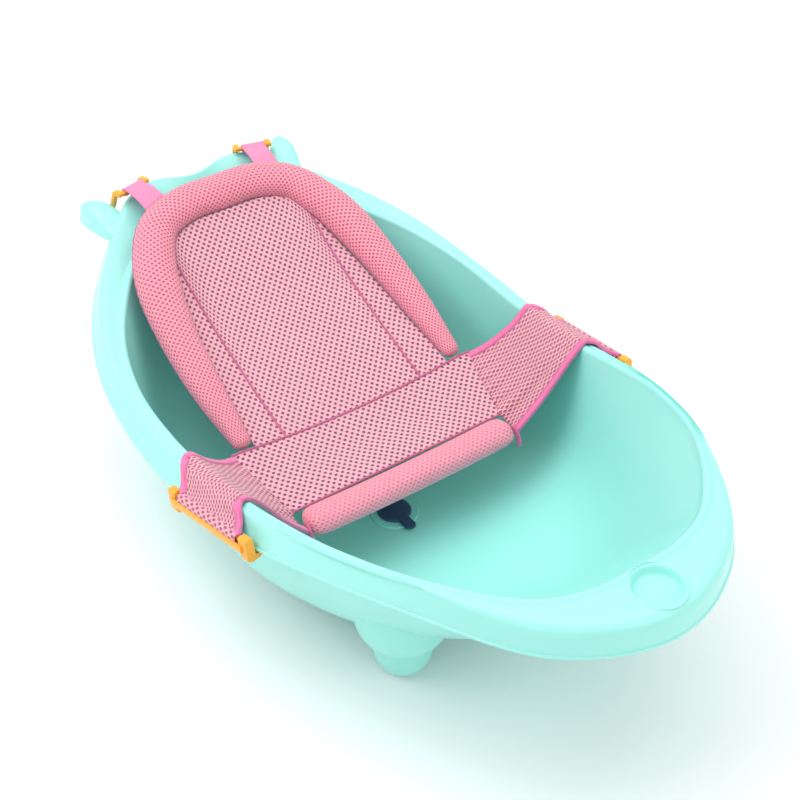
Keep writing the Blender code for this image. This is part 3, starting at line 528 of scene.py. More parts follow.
def tub_skin():
    """Rows of points from the flange's lower edge over the rim and down the basin to the drain hole."""
    flange, basin = tub_outlines(STATIONS)
    foot = smoothstep((-flange[:, 1] - 0.20) / 0.18)
    skirt = SKIRT_SIDE + (SKIRT_FOOT - SKIRT_SIDE) * foot
    flare = FLARE_SIDE + (FLARE_FOOT - FLARE_SIDE) * foot
    soft = 0.0048 + 0.0072 * foot
    out = outward(flange)
    out_basin = outward(basin)
    top = rim_height(flange[:, 1])
    inner_top = rim_height(basin[:, 1])
    room = np.sum((flange - basin) * out, axis=1)
    roll = np.minimum(ROLL_WIDTH, room * 0.36)
    soft = np.clip(room - flare - roll * 1.15 - 0.0008, 0.0015, soft)

    def skirt_ring(inset, height):
        return np.column_stack([flange - out * np.broadcast_to(inset, top.shape)[:, None], height])

    rings = [skirt_ring(0.0004, top - skirt), skirt_ring(0.0, top - skirt + 0.0004),
             skirt_ring(0.0, top - skirt + BEAD_HEIGHT - 0.0003),
             skirt_ring(BEAD, top - skirt + BEAD_HEIGHT + 0.0004)]
    # The flank leans in towards the rim's corner and bends over it into the shelf.
    low = skirt_ring(BEAD, top - skirt + BEAD_HEIGHT + 0.0010)
    corner = skirt_ring(flare, top)
    bend_start = corner + (low - corner) * (soft / np.linalg.norm(low - corner, axis=1))[:, None]
    bend_end = skirt_ring(flare + soft, top)
    rings += [low + (bend_start - low) * share for share in (0.0, 0.25, 0.5, 0.75)]
    rings += [bend_start * (1 - t) ** 2 + corner * 2 * t * (1 - t) + bend_end * t * t for t in np.linspace(0, 1, 10)]
    shelf_end = np.column_stack([basin + out_basin * (roll * 1.15)[:, None], inner_top])
    rings += [bend_end * (1 - share) + shelf_end * share for share in (0.15, 0.35, 0.55, 0.75, 0.9, 1.0)]
    for share, rise in ((1.02, 0.0002), (0.90, 0.0009), (0.76, 0.0017), (0.62, 0.0022), (0.48, 0.00235),
                        (0.34, 0.0020), (0.22, 0.0013), (0.11, 0.0002), (0.03, -0.0014)):
        rings.append(np.column_stack([basin + out_basin * (roll * share)[:, None], inner_top + rise]))
    rings += [basin_ring(basin, depth) for depth in BASIN_DEPTHS]
    bearing = np.arctan2(basin[:, 0], basin[:, 1])
    round_drain = np.column_stack([np.sin(bearing), np.cos(bearing)])
    drain = np.array([0.0, DRAIN_Y])
    hole = np.column_stack([drain + round_drain * DRAIN_HOLE, np.full(STATIONS, FLOOR_Z)])
    near = np.column_stack([drain + round_drain * (SEAT_RADIUS + 0.004), np.full(STATIONS, FLOOR_Z)])
    last = rings[-1]
    for share in (0.25, 0.5, 0.75):
        ring = last * (1 - share) + near * share
        ring[:, 2] = last[:, 2] * (1 - share) ** 3 + FLOOR_Z * (1 - (1 - share) ** 3)
        rings.append(ring)
    return np.array(rings + [near, hole])


def ear_grid(shrink, hollow=False):
    """Rings of a lobe that is lower where it leaves the rim."""
    steps = 96
    layers = [(1.0, 0.0), (1.0, 0.0030), (0.985, 0.0040), (0.966, 0.0050), (0.962, 0.25), (0.950, 0.45),
              (0.925, 0.60), (0.87, 0.73), (0.79, 0.83), (0.68, 0.90), (0.53, 0.955), (0.35, 0.985), (0.12, 1.0)]
    if hollow:
        layers = [(0.972, -0.3)] + layers[4:]
    cos, sin = math.cos(EAR_TURN), math.sin(EAR_TURN)
    grid = np.zeros((len(layers), steps, 3))
    for i, (scale, rise) in enumerate(layers):
        for k in range(steps):
            angle = 2 * math.pi * k / steps
            x = (EAR_SHORT - shrink) * scale * math.sin(angle)
            y = (EAR_LONG - shrink) * scale * math.cos(angle)
            height = EAR_HEIGHT * (0.44 + 0.56 * float(smoothstep((y + 0.008) / 0.040))) - shrink
            lift = rise if 0 <= rise < 0.01 else rise * height
            grid[i, k] = (EAR_CENTRE[0] + cos * x + sin * y, EAR_CENTRE[1] - sin * x + cos * y, EAR_BASE + lift)
    return grid


def solid(name, grid):
    return outward_faces(grid_mesh(name, grid, None, closed=True, capped=True))


def make_tub():
    skin = grid_mesh("tub", tub_skin(), mint, closed=True)
    middle = Vector((0.0, 0.03, FLOOR_Z))
    lowest = min(skin.data.polygons, key=lambda face: (face.center - middle).length)
    if lowest.normal.z < 0:
        skin.data.flip_normals()
    solidify(skin, WALL, -1.0)
    apply_modifiers(skin)
    flange, basin = tub_outlines(STATIONS)
    inside = flange - outward(flange) * (FLARE_SIDE + 0.0016)
    block = np.array([np.column_stack([inside, np.full(STATIONS, z)]) for z in (0.10, 0.30)])
    ear = solid("ear", ear_grid(0.0))
    boolean(ear, solid("ear_inside", ear_grid(WALL, True)), "DIFFERENCE")
    boolean(ear, solid("rim_block", block), "DIFFERENCE")
    boolean(skin, mirrored(ear, "ear_copy"), "UNION")
    boolean(skin, ear, "UNION")
    for place, centre in LEG_PLACES.items():
        outer = spline([(LEG_RADIUS + spread, LEG_SEAM_Z + rise) for spread, rise in LEG_FLARE], 40)
        along = np.gradient(outer, axis=0)
        normal = np.column_stack([along[:, 1], -along[:, 0]]) / np.linalg.norm(along, axis=1)[:, None]
        profile = list(outer) + list((outer - normal * WALL)[:0:-1]) + [(LEG_RADIUS - WALL, LEG_SEAM_Z)]
        socket = revolved("socket", profile, centre, None, 96, True)
        levels = [basin_ring(basin, depth, WALL * 0.45) for depth in BASIN_DEPTHS[4:]]
        boolean(socket, solid("basin_inside", np.array(levels)), "DIFFERENCE")
        boolean(skin, socket, "UNION")
    shelf = float(rim_height(RECESS_Y))
    hole = revolved("recess_hole", [(RECESS_RADIUS, shelf - 0.006), (RECESS_RADIUS, shelf + 0.012)],
                    (0.0, RECESS_Y), None, 128, False)
    boolean(skin, hole, "DIFFERENCE")
    floor = shelf - RECESS_DEPTH
    cup = revolved("recess_cup", [
        (RECESS_RADIUS - 0.0090, floor - WALL), (RECESS_RADIUS - 0.0040, floor - WALL),
        (RECESS_RADIUS + 0.0010, shelf - 0.0045), (RECESS_RADIUS + 0.0014, shelf + 0.0001),
        (RECESS_RADIUS + 0.0008, shelf + 0.0007), (RECESS_RADIUS - 0.0004, shelf + 0.0010),
        (RECESS_RADIUS - 0.0016, shelf + 0.0007), (RECESS_RADIUS - 0.0026, shelf - 0.0003),
        (RECESS_RADIUS - 0.0038, shelf - 0.0030), (RECESS_RADIUS - 0.0046, floor + 0.0020),
        (RECESS_RADIUS - 0.0054, floor + 0.0008), (RECESS_RADIUS - 0.0068, floor + 0.0001),
        (RECESS_RADIUS - 0.0085, floor)], (0.0, RECESS_Y), None, 128, False)
    boolean(skin, cup, "UNION")
    skin.data.materials.clear()
    skin.data.materials.append(mint)
    sharpen(skin, 42)
    finish_piece(skin, "tub", "mint_plastic", "tub_shell")


def finish_piece(obj, body, slot, *nodes):
    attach(obj, body)
    if nodes:
        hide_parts(*nodes)
    return obj


def make_feet():
    """Hollow domed caps."""
    flange, basin = tub_outlines(96)
    top = LEG_SEAM_Z - 0.0004
    inner = LEG_RADIUS - WALL
    outer = spline([(FOOT_FLAT, 0.0), (0.0165, 0.0018), (0.0222, 0.0062), (0.0264, 0.0130), (0.0295, 0.0225),
                    (0.0311, 0.0340), (LEG_RADIUS, top - 0.0008)], 31)
    profile = [(0.0015, 0.0)] + [tuple(p) for p in outer] + [(LEG_RADIUS - 0.0005, top), (inner, top)]
    profile += [(0.0286, 0.0340), (0.0264, 0.0225), (0.0222, 0.0130), (0.0150, 0.0065)]
    for place, centre in LEG_PLACES.items():
        cap = revolved("cap_" + place, profile, centre, mint, 96, False)
        levels = [basin_ring(basin, depth, WALL + 0.0009) for depth in BASIN_DEPTHS[4:]]
        boolean(cap, solid("underside", np.array(levels)), "DIFFERENCE")
        cap.data.materials.clear()
        cap.data.materials.append(mint)
        sharpen(cap, 40)
        finish_piece(cap, "tub", "mint_plastic", "foot_cap_" + place)


def make_plug():
    base = FLOOR_Z + 0.0018
    stem = SEAT_BORE - 0.0004
    body = revolved("plug", [
        (0.004, base - 0.0105), (stem - 0.0030, base - 0.0105), (stem - 0.0015, base - 0.0098),
        (stem, base - 0.0080), (stem, base), (PLUG_RADIUS - 0.0004, base), (PLUG_RADIUS, base + 0.0004),
        (PLUG_RADIUS, base + 0.0014), (PLUG_RADIUS - 0.0006, base + 0.0024), (PLUG_RADIUS - 0.0022, base + 0.0032),
        (PLUG_RADIUS - 0.0060, base + 0.0038), (0.004, base + 0.0040)], (0.0, DRAIN_Y), navy, 96, False)
    end = DRAIN_Y - 0.0285
    outline = [(-0.0055, DRAIN_Y - 0.010), (0.0055, DRAIN_Y - 0.010)]
    for k in range(25):
        angle = -math.pi * k / 24
        outline.append((0.0068 * math.cos(angle), end + 0.0068 * math.sin(angle)))
    middle = np.mean(outline, axis=0)
    layers = []
    for inset, z in ((0.90, -0.0012), (1.0, -0.0007), (1.0, 0.0007), (0.90, 0.0012)):
        ring = middle + (np.array(outline) - middle) * inset
        layers.append(np.column_stack([ring, np.full(len(ring), base + 0.0022 + z)]))
    tab = solid("tab", np.array(layers))
    boolean(body, tab, "UNION")
    body.data.materials.clear()
    body.data.materials.append(navy)
    sharpen(body, 40)
    finish_piece(body, "plug", "navy_silicone", "drain_plug")


# ---------------------------------------------------------------- sling
def back_height(y):
    return SEAT_LEVEL + 0.25 * (y + 0.007) + BACK_CURVE * (y + 0.007) ** 2


def sling_height(x, y):
    sag = 0.010 * float(smoothstep((y - ROLL_SEAM_Y) / 0.06)) * float(1 - smoothstep((y - 0.20) / 0.11))
    return back_height(y) - sag * max(0.0, 1 - (x / 0.14) ** 2)


def bolster_line(count):
    left = [(-x, y, width) for x, y, width in BOLSTER_PATH[1:]]
    curve = spline(BOLSTER_PATH[::-1] + left, 1200)
    length = lengths_of(curve[:, :2])
    places = np.linspace(0, length[-1], count)
    return np.column_stack([np.interp(places, length, column) for column in curve.T])


def bolster_frames(count):
    """Points, outward directions, up directions and half widths along the bolster."""
    line = bolster_line(count)
    widest = BOLSTER_PATH[0][2]
    points = np.column_stack([line[:, 0], line[:, 1], [back_height(y) for y in line[:, 1]]])
    points[:, 2] += BOLSTER_LIFT * line[:, 2] / widest
    along = np.gradient(points, axis=0)
    along /= np.linalg.norm(along, axis=1)[:, None]
    outs = []
    ups = []
    for forward, (x, y, width) in zip(along, line):
        up = np.array([0.0, -(0.25 + 2 * BACK_CURVE * (y + 0.007)), 1.0])
        across = np.cross(forward, up)
        across /= np.linalg.norm(across)
        up = np.cross(across, forward)
        outs.append(across)
        ups.append(up)
    return points, along, np.array(outs), np.array(ups), line[:, 2]


def inflate(obj, pinned, pressure, cap, steps=20):
    """Puffs a closed skin up as cloth, holding the pinned vertices, and limits how far a point moves."""
    start = np.array([v.co for v in obj.data.vertices], float)
    group = obj.vertex_groups.new(name="seam")
    group.add([int(index) for index in pinned], 1.0, "REPLACE")
    modifier = obj.modifiers.new("cloth", "CLOTH")
    settings = modifier.settings
    settings.quality = 6
    settings.mass = 0.25
    settings.tension_stiffness = 12
    settings.compression_stiffness = 12
    settings.shear_stiffness = 6
    settings.bending_stiffness = 0.4
    settings.use_pressure = True
    settings.uniform_pressure_force = pressure
    settings.effector_weights.gravity = 0.0
    settings.vertex_group_mass = "seam"
    modifier.point_cache.frame_end = steps
    scene = bpy.context.scene
    for step in range(1, steps + 1):
        scene.frame_set(step)
    graph = bpy.context.evaluated_depsgraph_get()
    moved = np.array([v.co for v in obj.evaluated_get(graph).data.vertices], float)
    obj.modifiers.remove(modifier)
    scene.frame_set(1)
    change = moved - start
    far = np.linalg.norm(change, axis=1)
    change *= np.minimum(1.0, cap / np.maximum(far, 1e-9))[:, None]
    obj.data.vertices.foreach_set("co", (start + change).astype(np.float32).ravel())
    obj.data.update()


def wave(point, size, seed=0.0):
    return noise.noise(Vector(point) / size + Vector((seed, seed, seed)))


def make_bolster():
    count = 230
    sides = 44
    points, along, outs, ups, widths = bolster_frames(count)
    distance = lengths_of(points)
    total = distance[-1]
    grid = np.zeros((count + 10, sides, 3))
    turns = [2 * math.pi * k / sides for k in range(sides)]
    for row in range(count + 10):
        index = min(max(row - 5, 0), count - 1)
        beyond = max(0, 5 - row) or -max(0, row - (count + 4))
        cap = abs(beyond) / 5
        scale = math.sqrt(max(0.0, 1 - cap ** 2)) if abs(beyond) < 5 else 0.12
        push = 0.0082 * cap * (-1 if beyond > 0 else 1)
        for j, turn in enumerate(turns):
            half = widths[index] * scale
            lump = 1 + 0.03 * wave(points[index] + outs[index] * math.cos(turn) * 0.02, 0.035)
            seam = math.exp(-((math.cos(turn) + 1) / 0.10) ** 2) + math.exp(-((math.cos(turn) - 1) / 0.06) ** 2)
            gather = 1 - 0.022 * seam * (1 + math.sin(distance[index] * 2 * math.pi / 0.0105))
            grid[row, j] = (points[index] + along[index] * push
                            + outs[index] * half * math.cos(turn) * gather
                            + ups[index] * half * BOLSTER_FLATNESS * math.sin(turn) * lump * gather)
    uv = tube_uv(grid, 0.126)
    obj = grid_mesh("bolster", grid, pad_mesh, closed=True, capped=True, uv=uv)
    inner = sides // 2 if outs[count // 2][1] > 0 else 0
    columns = [inner, (inner + sides // 2) % sides]
    pinned = [row * sides + j for row in range(count + 10) for j in columns]
    pinned += [row * sides + j for row in (0, 1, count + 8, count + 9) for j in range(sides)]
    inflate(obj, pinned, 2.5, 0.0022)
    finish_piece(obj, "tub", "pink_padding", "sling_head_bolster")
    make_piping("bolster_seam_inner", grid[5:-5, inner], ups, 0.0010)
    make_piping("bolster_seam_outer", grid[5:-5, (inner + sides // 2) % sides], ups, 0.0008)
    return total


def make_piping(name, points, ups, radius):
    """A thin stitched ridge along a seam."""
    points = np.asarray(points)
    line = by_length(points, max(24, int(lengths_of(points)[-1] / 0.0012)))
    share = np.linspace(0, len(ups) - 1, len(line))
    grid = sweep(line, circle(radius, 10), lambda i: ups[int(share[i])])
    distance = lengths_of(line)
    centre = grid.mean(axis=1, keepdims=True)
    swell = 1 + 0.22 * np.sin(distance * 2 * math.pi / 0.0044)
    grid = centre + (grid - centre) * swell[:, None, None]
    obj = grid_mesh(name, grid, thread, closed=True, capped=True, uv=tube_uv(grid, radius * 6.28))
    finish_piece(obj, "tub", "pink_tape")
    return obj


def bolster_inner_edge():
    line = bolster_line(600)[299::-1]
    along = np.gradient(line[:, :2], axis=0)
    along /= np.linalg.norm(along, axis=1)[:, None]
    inward = np.column_stack([along[:, 1], -along[:, 0]])
    edge = line[:, :2] + inward * (line[:, 2] * 0.96)[:, None]
    return edge[edge[:, 0] > 0.0]


def seat_half_width(y):
    share = (y - ROLL_SEAM_Y) / (SEAT_SEAM_Y - ROLL_SEAM_Y)
    return 0.1310 + 0.0190 * share


def make_panels():
    """The back in three panels and the seat in front of them, hanging in a shallow sag."""
    edge = bolster_inner_edge()
    head = edge[edge[:, 1] > 0.2]

    def top_y(x):
        return float(np.interp(abs(x), head[:, 0], head[:, 1]))

    def side_x_at(y):
        return min(float(np.interp(y, edge[::-1, 1], edge[::-1, 0])), 0.141)

    def ripple(x, y, near):
        """Small puckers beside a seam at this distance, and slow waves in the cloth."""
        pucker = 0.00035 * math.exp(-near / 0.007) * math.sin((x + y) * 2 * math.pi / 0.009)
        return pucker + 0.0011 * wave((x, y, 0.0), 0.05) * min(1.0, near / 0.02)

    def fill(rows, columns, place):
        grid = np.zeros((rows, columns, 3))
        for i, along in enumerate(np.linspace(0, 1, rows)):
            for j, across in enumerate(np.linspace(0, 1, columns)):
                x, y, near = place(across, along)
                z = sling_height(x, y) + ripple(x, y, near)
                if y > 0.25:
                    z += 0.0030 * float(smoothstep((y - 0.25) / 0.05)) * math.exp(-near / 0.02)
                grid[i, j] = (x, y, z)
        return grid

    def centre(across, along):
        x = (2 * across - 1) * BACK_SEAM_X
        top = top_y(x)
        y = SEAT_SEAM_Y + along * (top - SEAT_SEAM_Y)
        return x, y, min(BACK_SEAM_X - abs(x), y - SEAT_SEAM_Y, top - y)

    def side(across, along):
        corner = top_y(BACK_SEAM_X + 0.002)
        y = SEAT_SEAM_Y + along * (corner - SEAT_SEAM_Y)
        outer = side_x_at(max(y, 0.083))
        x = BACK_SEAM_X + across * (outer - BACK_SEAM_X)
        return x, y, min(x - BACK_SEAM_X, y - SEAT_SEAM_Y, outer - x)

    def seat(across, along):
        y = ROLL_SEAM_Y + along * (SEAT_SEAM_Y - ROLL_SEAM_Y)
        half = seat_half_width(y) + 0.0022
        x = (2 * across - 1) * half
        return x, y, min(half - abs(x), y - ROLL_SEAM_Y, SEAT_SEAM_Y - y)

    centre_grid = fill(110, 81, centre)
    centre_panel = grid_mesh("back_centre", centre_grid, back_mesh, uv=cloth_uv(centre_grid))
    side_grid = fill(100, 25, side)
    side_panel = grid_mesh("back_right", side_grid, back_mesh, uv=cloth_uv(side_grid))
    seat_grid = fill(40, 121, seat)
    seat_panel = grid_mesh("seat", seat_grid, seat_mesh, uv=cloth_uv(seat_grid))
    other_side = mirrored(side_panel, "back_left")
    for obj, node, flat in ((centre_panel, "sling_back_centre", (0.180, 0.260)),
                            (side_panel, "sling_back_right", (0.051, 0.250)),
                            (other_side, "sling_back_left", (0.051, 0.250)),
                            (seat_panel, "sling_seat", (0.290, 0.088))):
        solidify(obj, 0.0022)
        finish_piece(obj, "tub", "pink_mesh", node)
    up = [np.array([0.0, -0.4, 1.0])] * 2
    lift = np.array([0.0, 0.0, 0.0014])
    make_piping("back_seam_right", side_grid[:, 0] + lift, up, 0.0013)
    make_piping("back_seam_left", (side_grid[:, 0] + lift) * np.array([-1.0, 1.0, 1.0]), up, 0.0013)
    make_piping("seat_seam", seat_grid[-1] + lift, up, 0.0013)
    make_piping("roll_seam", seat_grid[0] + lift * 0.8, up, 0.0012)


def foot_roll_centre():
    return ROLL_SEAM_Y - FOOT_ROLL_DEPTH - 0.0006, back_height(ROLL_SEAM_Y) - 0.003


def make_foot_roll():
    centre_y, centre_z = foot_roll_centre()
    sides = 40
    rows = 150
    grid = np.zeros((rows, sides, 3))
    for i, share in enumerate(np.linspace(-1, 1, rows)):
        x = FOOT_ROLL_HALF * share
        end = FOOT_ROLL_HALF - abs(x)
        size = float(np.interp(end, [0, 0.002, 0.006, 0.014, 0.03], [0.30, 0.62, 0.86, 0.98, 1.0]))
        slump = -0.0028 * (1 - share ** 2)
        for j in range(sides):
            turn = 2 * math.pi * j / sides
            lump = 1 + 0.035 * wave((x, math.cos(turn) * 0.02, math.sin(turn) * 0.02), 0.03, 4.0)
            seam = math.exp(-((math.cos(turn) - 1) / 0.08) ** 2)
            gather = 1 - 0.02 * seam * (1 + math.sin(x * 2 * math.pi / 0.011))
            fold = 1 - 0.05 * math.exp(-end / 0.012) * math.cos(turn * 5)
            grid[i, j] = (x, centre_y + FOOT_ROLL_DEPTH * size * math.cos(turn) * gather * fold,
                          centre_z + slump + FOOT_ROLL_THICKNESS * size * math.sin(turn) * lump * fold)
    obj = grid_mesh("foot_roll", grid, roll_mesh, closed=True, capped=True, uv=tube_uv(grid, 0.100))
    outward_faces(obj)
    pinned = [row * sides for row in range(rows)] + list(range(sides)) + list(range((rows - 1) * sides, rows * sides))
    inflate(obj, pinned, 2.5, 0.0015)
    finish_piece(obj, "tub", "pink_padding", "sling_foot_roll")


def side_x(half, y):
    outline = full_outline(half)
    right = outline[(outline[:, 0] > 0) & (np.abs(outline[:, 1]) < 0.2)]
    order = np.argsort(right[:, 1])
    return float(np.interp(y, right[order, 1], right[order, 0]))


def side_bar_ends():
    return [np.array([side_x(FLANGE_EDGE, y) + SIDE_BAR_OUT, y, float(rim_height(y)) - SIDE_BAR_DOWN])
            for y in WING_BAR_Y]


def wing_column(v, count):
    """Points of a wing from the seat over the rim down to the clip's bar. v runs front to rear."""
    seat_y = (ROLL_SEAM_Y - 0.030) * (1 - v) + (SEAT_SEAM_Y - 0.002) * v
    seat_x = max(seat_half_width(seat_y), seat_half_width(ROLL_SEAM_Y)) + 0.0015
    start = np.array([seat_x, seat_y, max(sling_height(seat_x, seat_y), foot_roll_centre()[1])])
    rim_y = WING_RIM_Y[0] * (1 - v) + WING_RIM_Y[1] * v
    front, rear = side_bar_ends()
    bar = front * (1 - v) + rear * v
    basin_x = side_x(BASIN_EDGE, rim_y)
    corner_x = side_x(FLANGE_EDGE, rim_y) - FLARE_SIDE
    top = float(rim_height(rim_y))
    inside = np.array([basin_x - 0.0125, rim_y * 0.9 + seat_y * 0.1, top - 0.0125])
    middle = (start + inside) / 2 - np.array([0.0, 0.0, 0.004])
    over_y = rim_y * 0.75 + bar[1] * 0.25
    down_y = rim_y * 0.40 + bar[1] * 0.60
    down_x = side_x(FLANGE_EDGE, down_y) - FLARE_SIDE + 0.0075
    points = [start, middle, inside,
              (basin_x + 0.0030, rim_y, top + ROLL_HEIGHT + 0.0030),
              ((basin_x + corner_x) / 2 + 0.002, rim_y, top + 0.0044),
              (corner_x + 0.0005, over_y, float(rim_height(over_y)) + 0.0030),
              (down_x, down_y, float(rim_height(down_y)) - 0.0055),
              (bar[0] + 0.0005, bar[1], bar[2] + SLEEVE_RADIUS - 0.0004)]
    return by_length(spline(points, 120), count)


def make_wings():
    columns = 61
    rows = 90
    grid = np.array([wing_column(v, rows) for v in np.linspace(0.0, 1.0, columns)])
    grid = grid.transpose(1, 0, 2)
    normals = np.cross(np.gradient(grid, axis=0), np.gradient(grid, axis=1))
    normals /= np.linalg.norm(normals, axis=2)[:, :, None]
    if normals[rows // 2, columns // 2, 2] < 0:
        normals = -normals
    shape = grid.copy()
    for i in range(rows):
        along = i / (rows - 1)
        for j in range(columns):
            across = j / (columns - 1)
            edge = min(across, 1 - across)
            fade = math.exp(-along / 0.22) * float(smoothstep(edge / 0.12))
            crease = 0.0013 * fade * math.sin(across * 2 * math.pi * 7.5 + 3 * along)
            fold = 0.0042 * math.exp(-((across - 0.17 - 0.10 * along) / 0.055) ** 2) * math.exp(-along / 0.35)
            soft = 0.0009 * wave(grid[i, j], 0.03, 9.0) * float(smoothstep(edge / 0.1))
            shape[i, j] = grid[i, j] + normals[i, j] * (crease - fold + soft) * float(smoothstep((1 - along) / 0.5))
    front, rear = side_bar_ends()
    span = rear - front
    obj = grid_mesh("wing_right", shape, wing_mesh, uv=cloth_uv(shape))
    solidify(obj, 0.0020)
    apply_modifiers(obj)
    add_hem(obj, front + span * 0.01, rear - span * 0.01, wing_mesh)
    left = mirrored(obj, "wing_left")
    for piece, side in ((obj, "right"), (left, "left")):
        finish_piece(piece, "tub", "pink_mesh", "sling_wing_" + side)
    for place, column in (("front", 0), ("rear", columns - 1)):
        line = by_length(shape[:, column], 100)
        inward = shape[:, abs(column - 3)] - shape[:, column]
        share = np.linspace(0, rows - 1, len(line))
        ups = [normals[int(s), column] for s in share]
        direction = [inward[int(s)] for s in share]
        section = rounded_profile([(-0.0015, -0.0021), (0.0072, -0.0018), (0.0072, 0.0018), (-0.0015, 0.0021)],
                                  0.0018, 5)
        strip = sweep(line, section, lambda i: ups[i])
        flat = np.cross(np.gradient(line, axis=0)[50], ups[50])
        if np.dot(flat, direction[50]) < 0:
            strip = sweep(line, [(-a, b) for a, b in section], lambda i: ups[i])
        binding = grid_mesh("binding_%s_right" % place, strip, tape, closed=True, capped=True, smooth=50,
                            uv=tube_uv(strip, 0.021))
        outward_faces(binding)
        other = mirrored(binding, "binding_%s_left" % place)
        for piece, side in ((binding, "right"), (other, "left")):
            finish_piece(piece, "tub", "pink_tape", "wing_tape_%s_%s" % (place, side))
        toward = [d / np.linalg.norm(d) for d in direction]
        stitch_line = [p + t * 0.0056 + u * 0.0019 for p, t, u in zip(line, toward, ups)]
        stitched = make_stitches("stitches_%s_right" % place, stitch_line, ups, 0.0032, 0.00035)
        finish_piece(stitched, "tub", "pink_tape")
        finish_piece(mirrored(stitched, "stitches_%s_left" % place), "tub", "pink_tape")


def add_hem(obj, start, end, material):
    """The rolled hem that the clip's bar runs through."""
    line = np.linspace(start, end, 60)
    outer = sweep(line, circle(SLEEVE_RADIUS, 32), lambda i: (0.0, 0.0, 1.0))
    hem = grid_mesh("hem", outer, material, closed=True, uv=tube_uv(outer, SLEEVE_RADIUS * 6.28))
    solidify(hem, 0.0014, -1.0)
    apply_modifiers(hem)
    join(obj, hem)


def join(obj, *others):
    """Joins meshes into one object, keeping their UVs."""
    for other in others:
        other.select_set(True)
    for each in bpy.context.selected_objects:
        if each not in others:
            each.select_set(False)
    obj.select_set(True)
    bpy.context.view_layer.objects.active = obj
    bpy.ops.object.join()
    obj.select_set(False)


def make_stitches(name, points, ups, length, radius):
    """A row of short raised thread stitches."""
    points = np.asarray(points)
    distance = lengths_of(points)
    vertices = []
    faces = []
    corners = []
    place = length
    sides = 6
    while place < distance[-1] - length:
        ends = [np.array([np.interp(place + k * length * 0.36, distance, points[:, c]) for c in range(3)])
                for k in (-1, 0, 1)]
        up = np.array(ups[int(np.interp(place, distance, np.arange(len(points))))])
        forward = ends[2] - ends[0]
        forward /= np.linalg.norm(forward)
        across = np.cross(forward, up)
        across /= np.linalg.norm(across)
        rings = [(ends[0], 0.25, -0.3), (ends[0] * 0.7 + ends[1] * 0.3, 0.9, 0.2), (ends[1], 1.0, 0.5),
                 (ends[2] * 0.7 + ends[1] * 0.3, 0.9, 0.2), (ends[2], 0.25, -0.3)]
        first = len(vertices)
        for centre, size, lift in rings:
            for k in range(sides):
                turn = 2 * math.pi * k / sides
                vertices.append(centre + across * radius * size * math.cos(turn)
                                + up * radius * (lift + size * math.sin(turn)))
        for row in range(4):
            for k in range(sides):
                nxt = (k + 1) % sides
                faces.append((first + row * sides + k, first + row * sides + nxt,
                              first + (row + 1) * sides + nxt, first + (row + 1) * sides + k))
                corners += [(k * 0.0003, row * 0.0008), (k * 0.0003 + 0.0003, row * 0.0008),
                            (k * 0.0003 + 0.0003, row * 0.0008 + 0.0008), (k * 0.0003, row * 0.0008 + 0.0008)]
        for row, order in ((0, range(sides - 1, -1, -1)), (4, range(sides))):
            faces.append(tuple(first + row * sides + k for k in order))
            corners += [(0.0, 0.0)] * sides
        place += length
    return outward_faces(mesh_object(name, vertices, faces, thread, uvs=corners))


def make_tails():
    """The short free ends of the edge tape beside the foot roll."""
    centre_y, centre_z = foot_roll_centre()
    line = spline([(FOOT_ROLL_HALF + 0.0012, centre_y - 0.004, centre_z + 0.004),
                   (FOOT_ROLL_HALF + 0.0022, centre_y - 0.010, centre_z + 0.001),
                   (FOOT_ROLL_HALF + 0.0024, centre_y - 0.015, centre_z - 0.006),
                   (FOOT_ROLL_HALF + 0.0016, centre_y - 0.017, centre_z - 0.013)], 40)
    section = rounded_profile([(-0.0040, -0.0011), (0.0040, -0.0011), (0.0040, 0.0011), (-0.0040, 0.0011)], 0.0008, 4)
    grid = sweep(line, section, lambda i: (1.0, 0.0, 0.0))
    tail = grid_mesh("tail_right", grid, tape, closed=True, capped=True, smooth=50, uv=tube_uv(grid, 0.020))
    outward_faces(tail)
    finish_piece(tail, "tub", "pink_tape", "roll_tail_right")
    finish_piece(mirrored(tail, "tail_left"), "tub", "pink_tape", "roll_tail_left")


# ---------------------------------------------------------------- clips and straps
def bar_frame(start, end):
    """A frame with Y along the bar, X out of the tub and Z up."""
    along = Vector(end - start).normalized()
    out = along.cross(Vector((0.0, 0.0, 1.0))).normalized()
    up = out.cross(along)
    matrix = Matrix((out, along, up)).transposed().to_4x4()
    matrix.translation = Vector((start + end) / 2)
    return matrix


def head_bar_frame():
    half = np.array([math.cos(HEAD_BAR_TURN), -math.sin(HEAD_BAR_TURN), 0.0]) * HEAD_CLIP_HALF
    return bar_frame(np.array(HEAD_BAR) + half, np.array(HEAD_BAR) - half)


SIDE_BLOCK = [(0.0052, 0.0045), (0.0030, 0.0065), (-0.0028, 0.0065), (-0.0041, 0.0050), (-0.0041, -0.0130),
              (-0.0138, -0.0130), (-0.0146, -0.0144), (-0.0088, -0.0178), (0.0002, -0.0192), (0.0052, -0.0168)]
SIDE_RAIL = [(0.0050, -0.0084), (0.0077, -0.0084), (0.0077, -0.0012), (0.0050, -0.0012)]
HEAD_BLOCK = [(0.0075, 0.0026), (-0.0022, 0.0032), (-0.0030, 0.0008), (-0.0026, -0.0022), (0.0070, -0.0024),
              (0.0128, -0.0170), (0.0186, -0.0300), (0.0198, -0.0350), (0.0170, -0.0384), (0.0128, -0.0402),
              (0.0121, -0.0416), (0.0150, -0.0436), (0.0200, -0.0430), (0.0234, -0.0392), (0.0224, -0.0300),
              (0.0164, -0.0155), (0.0108, 0.0005)]


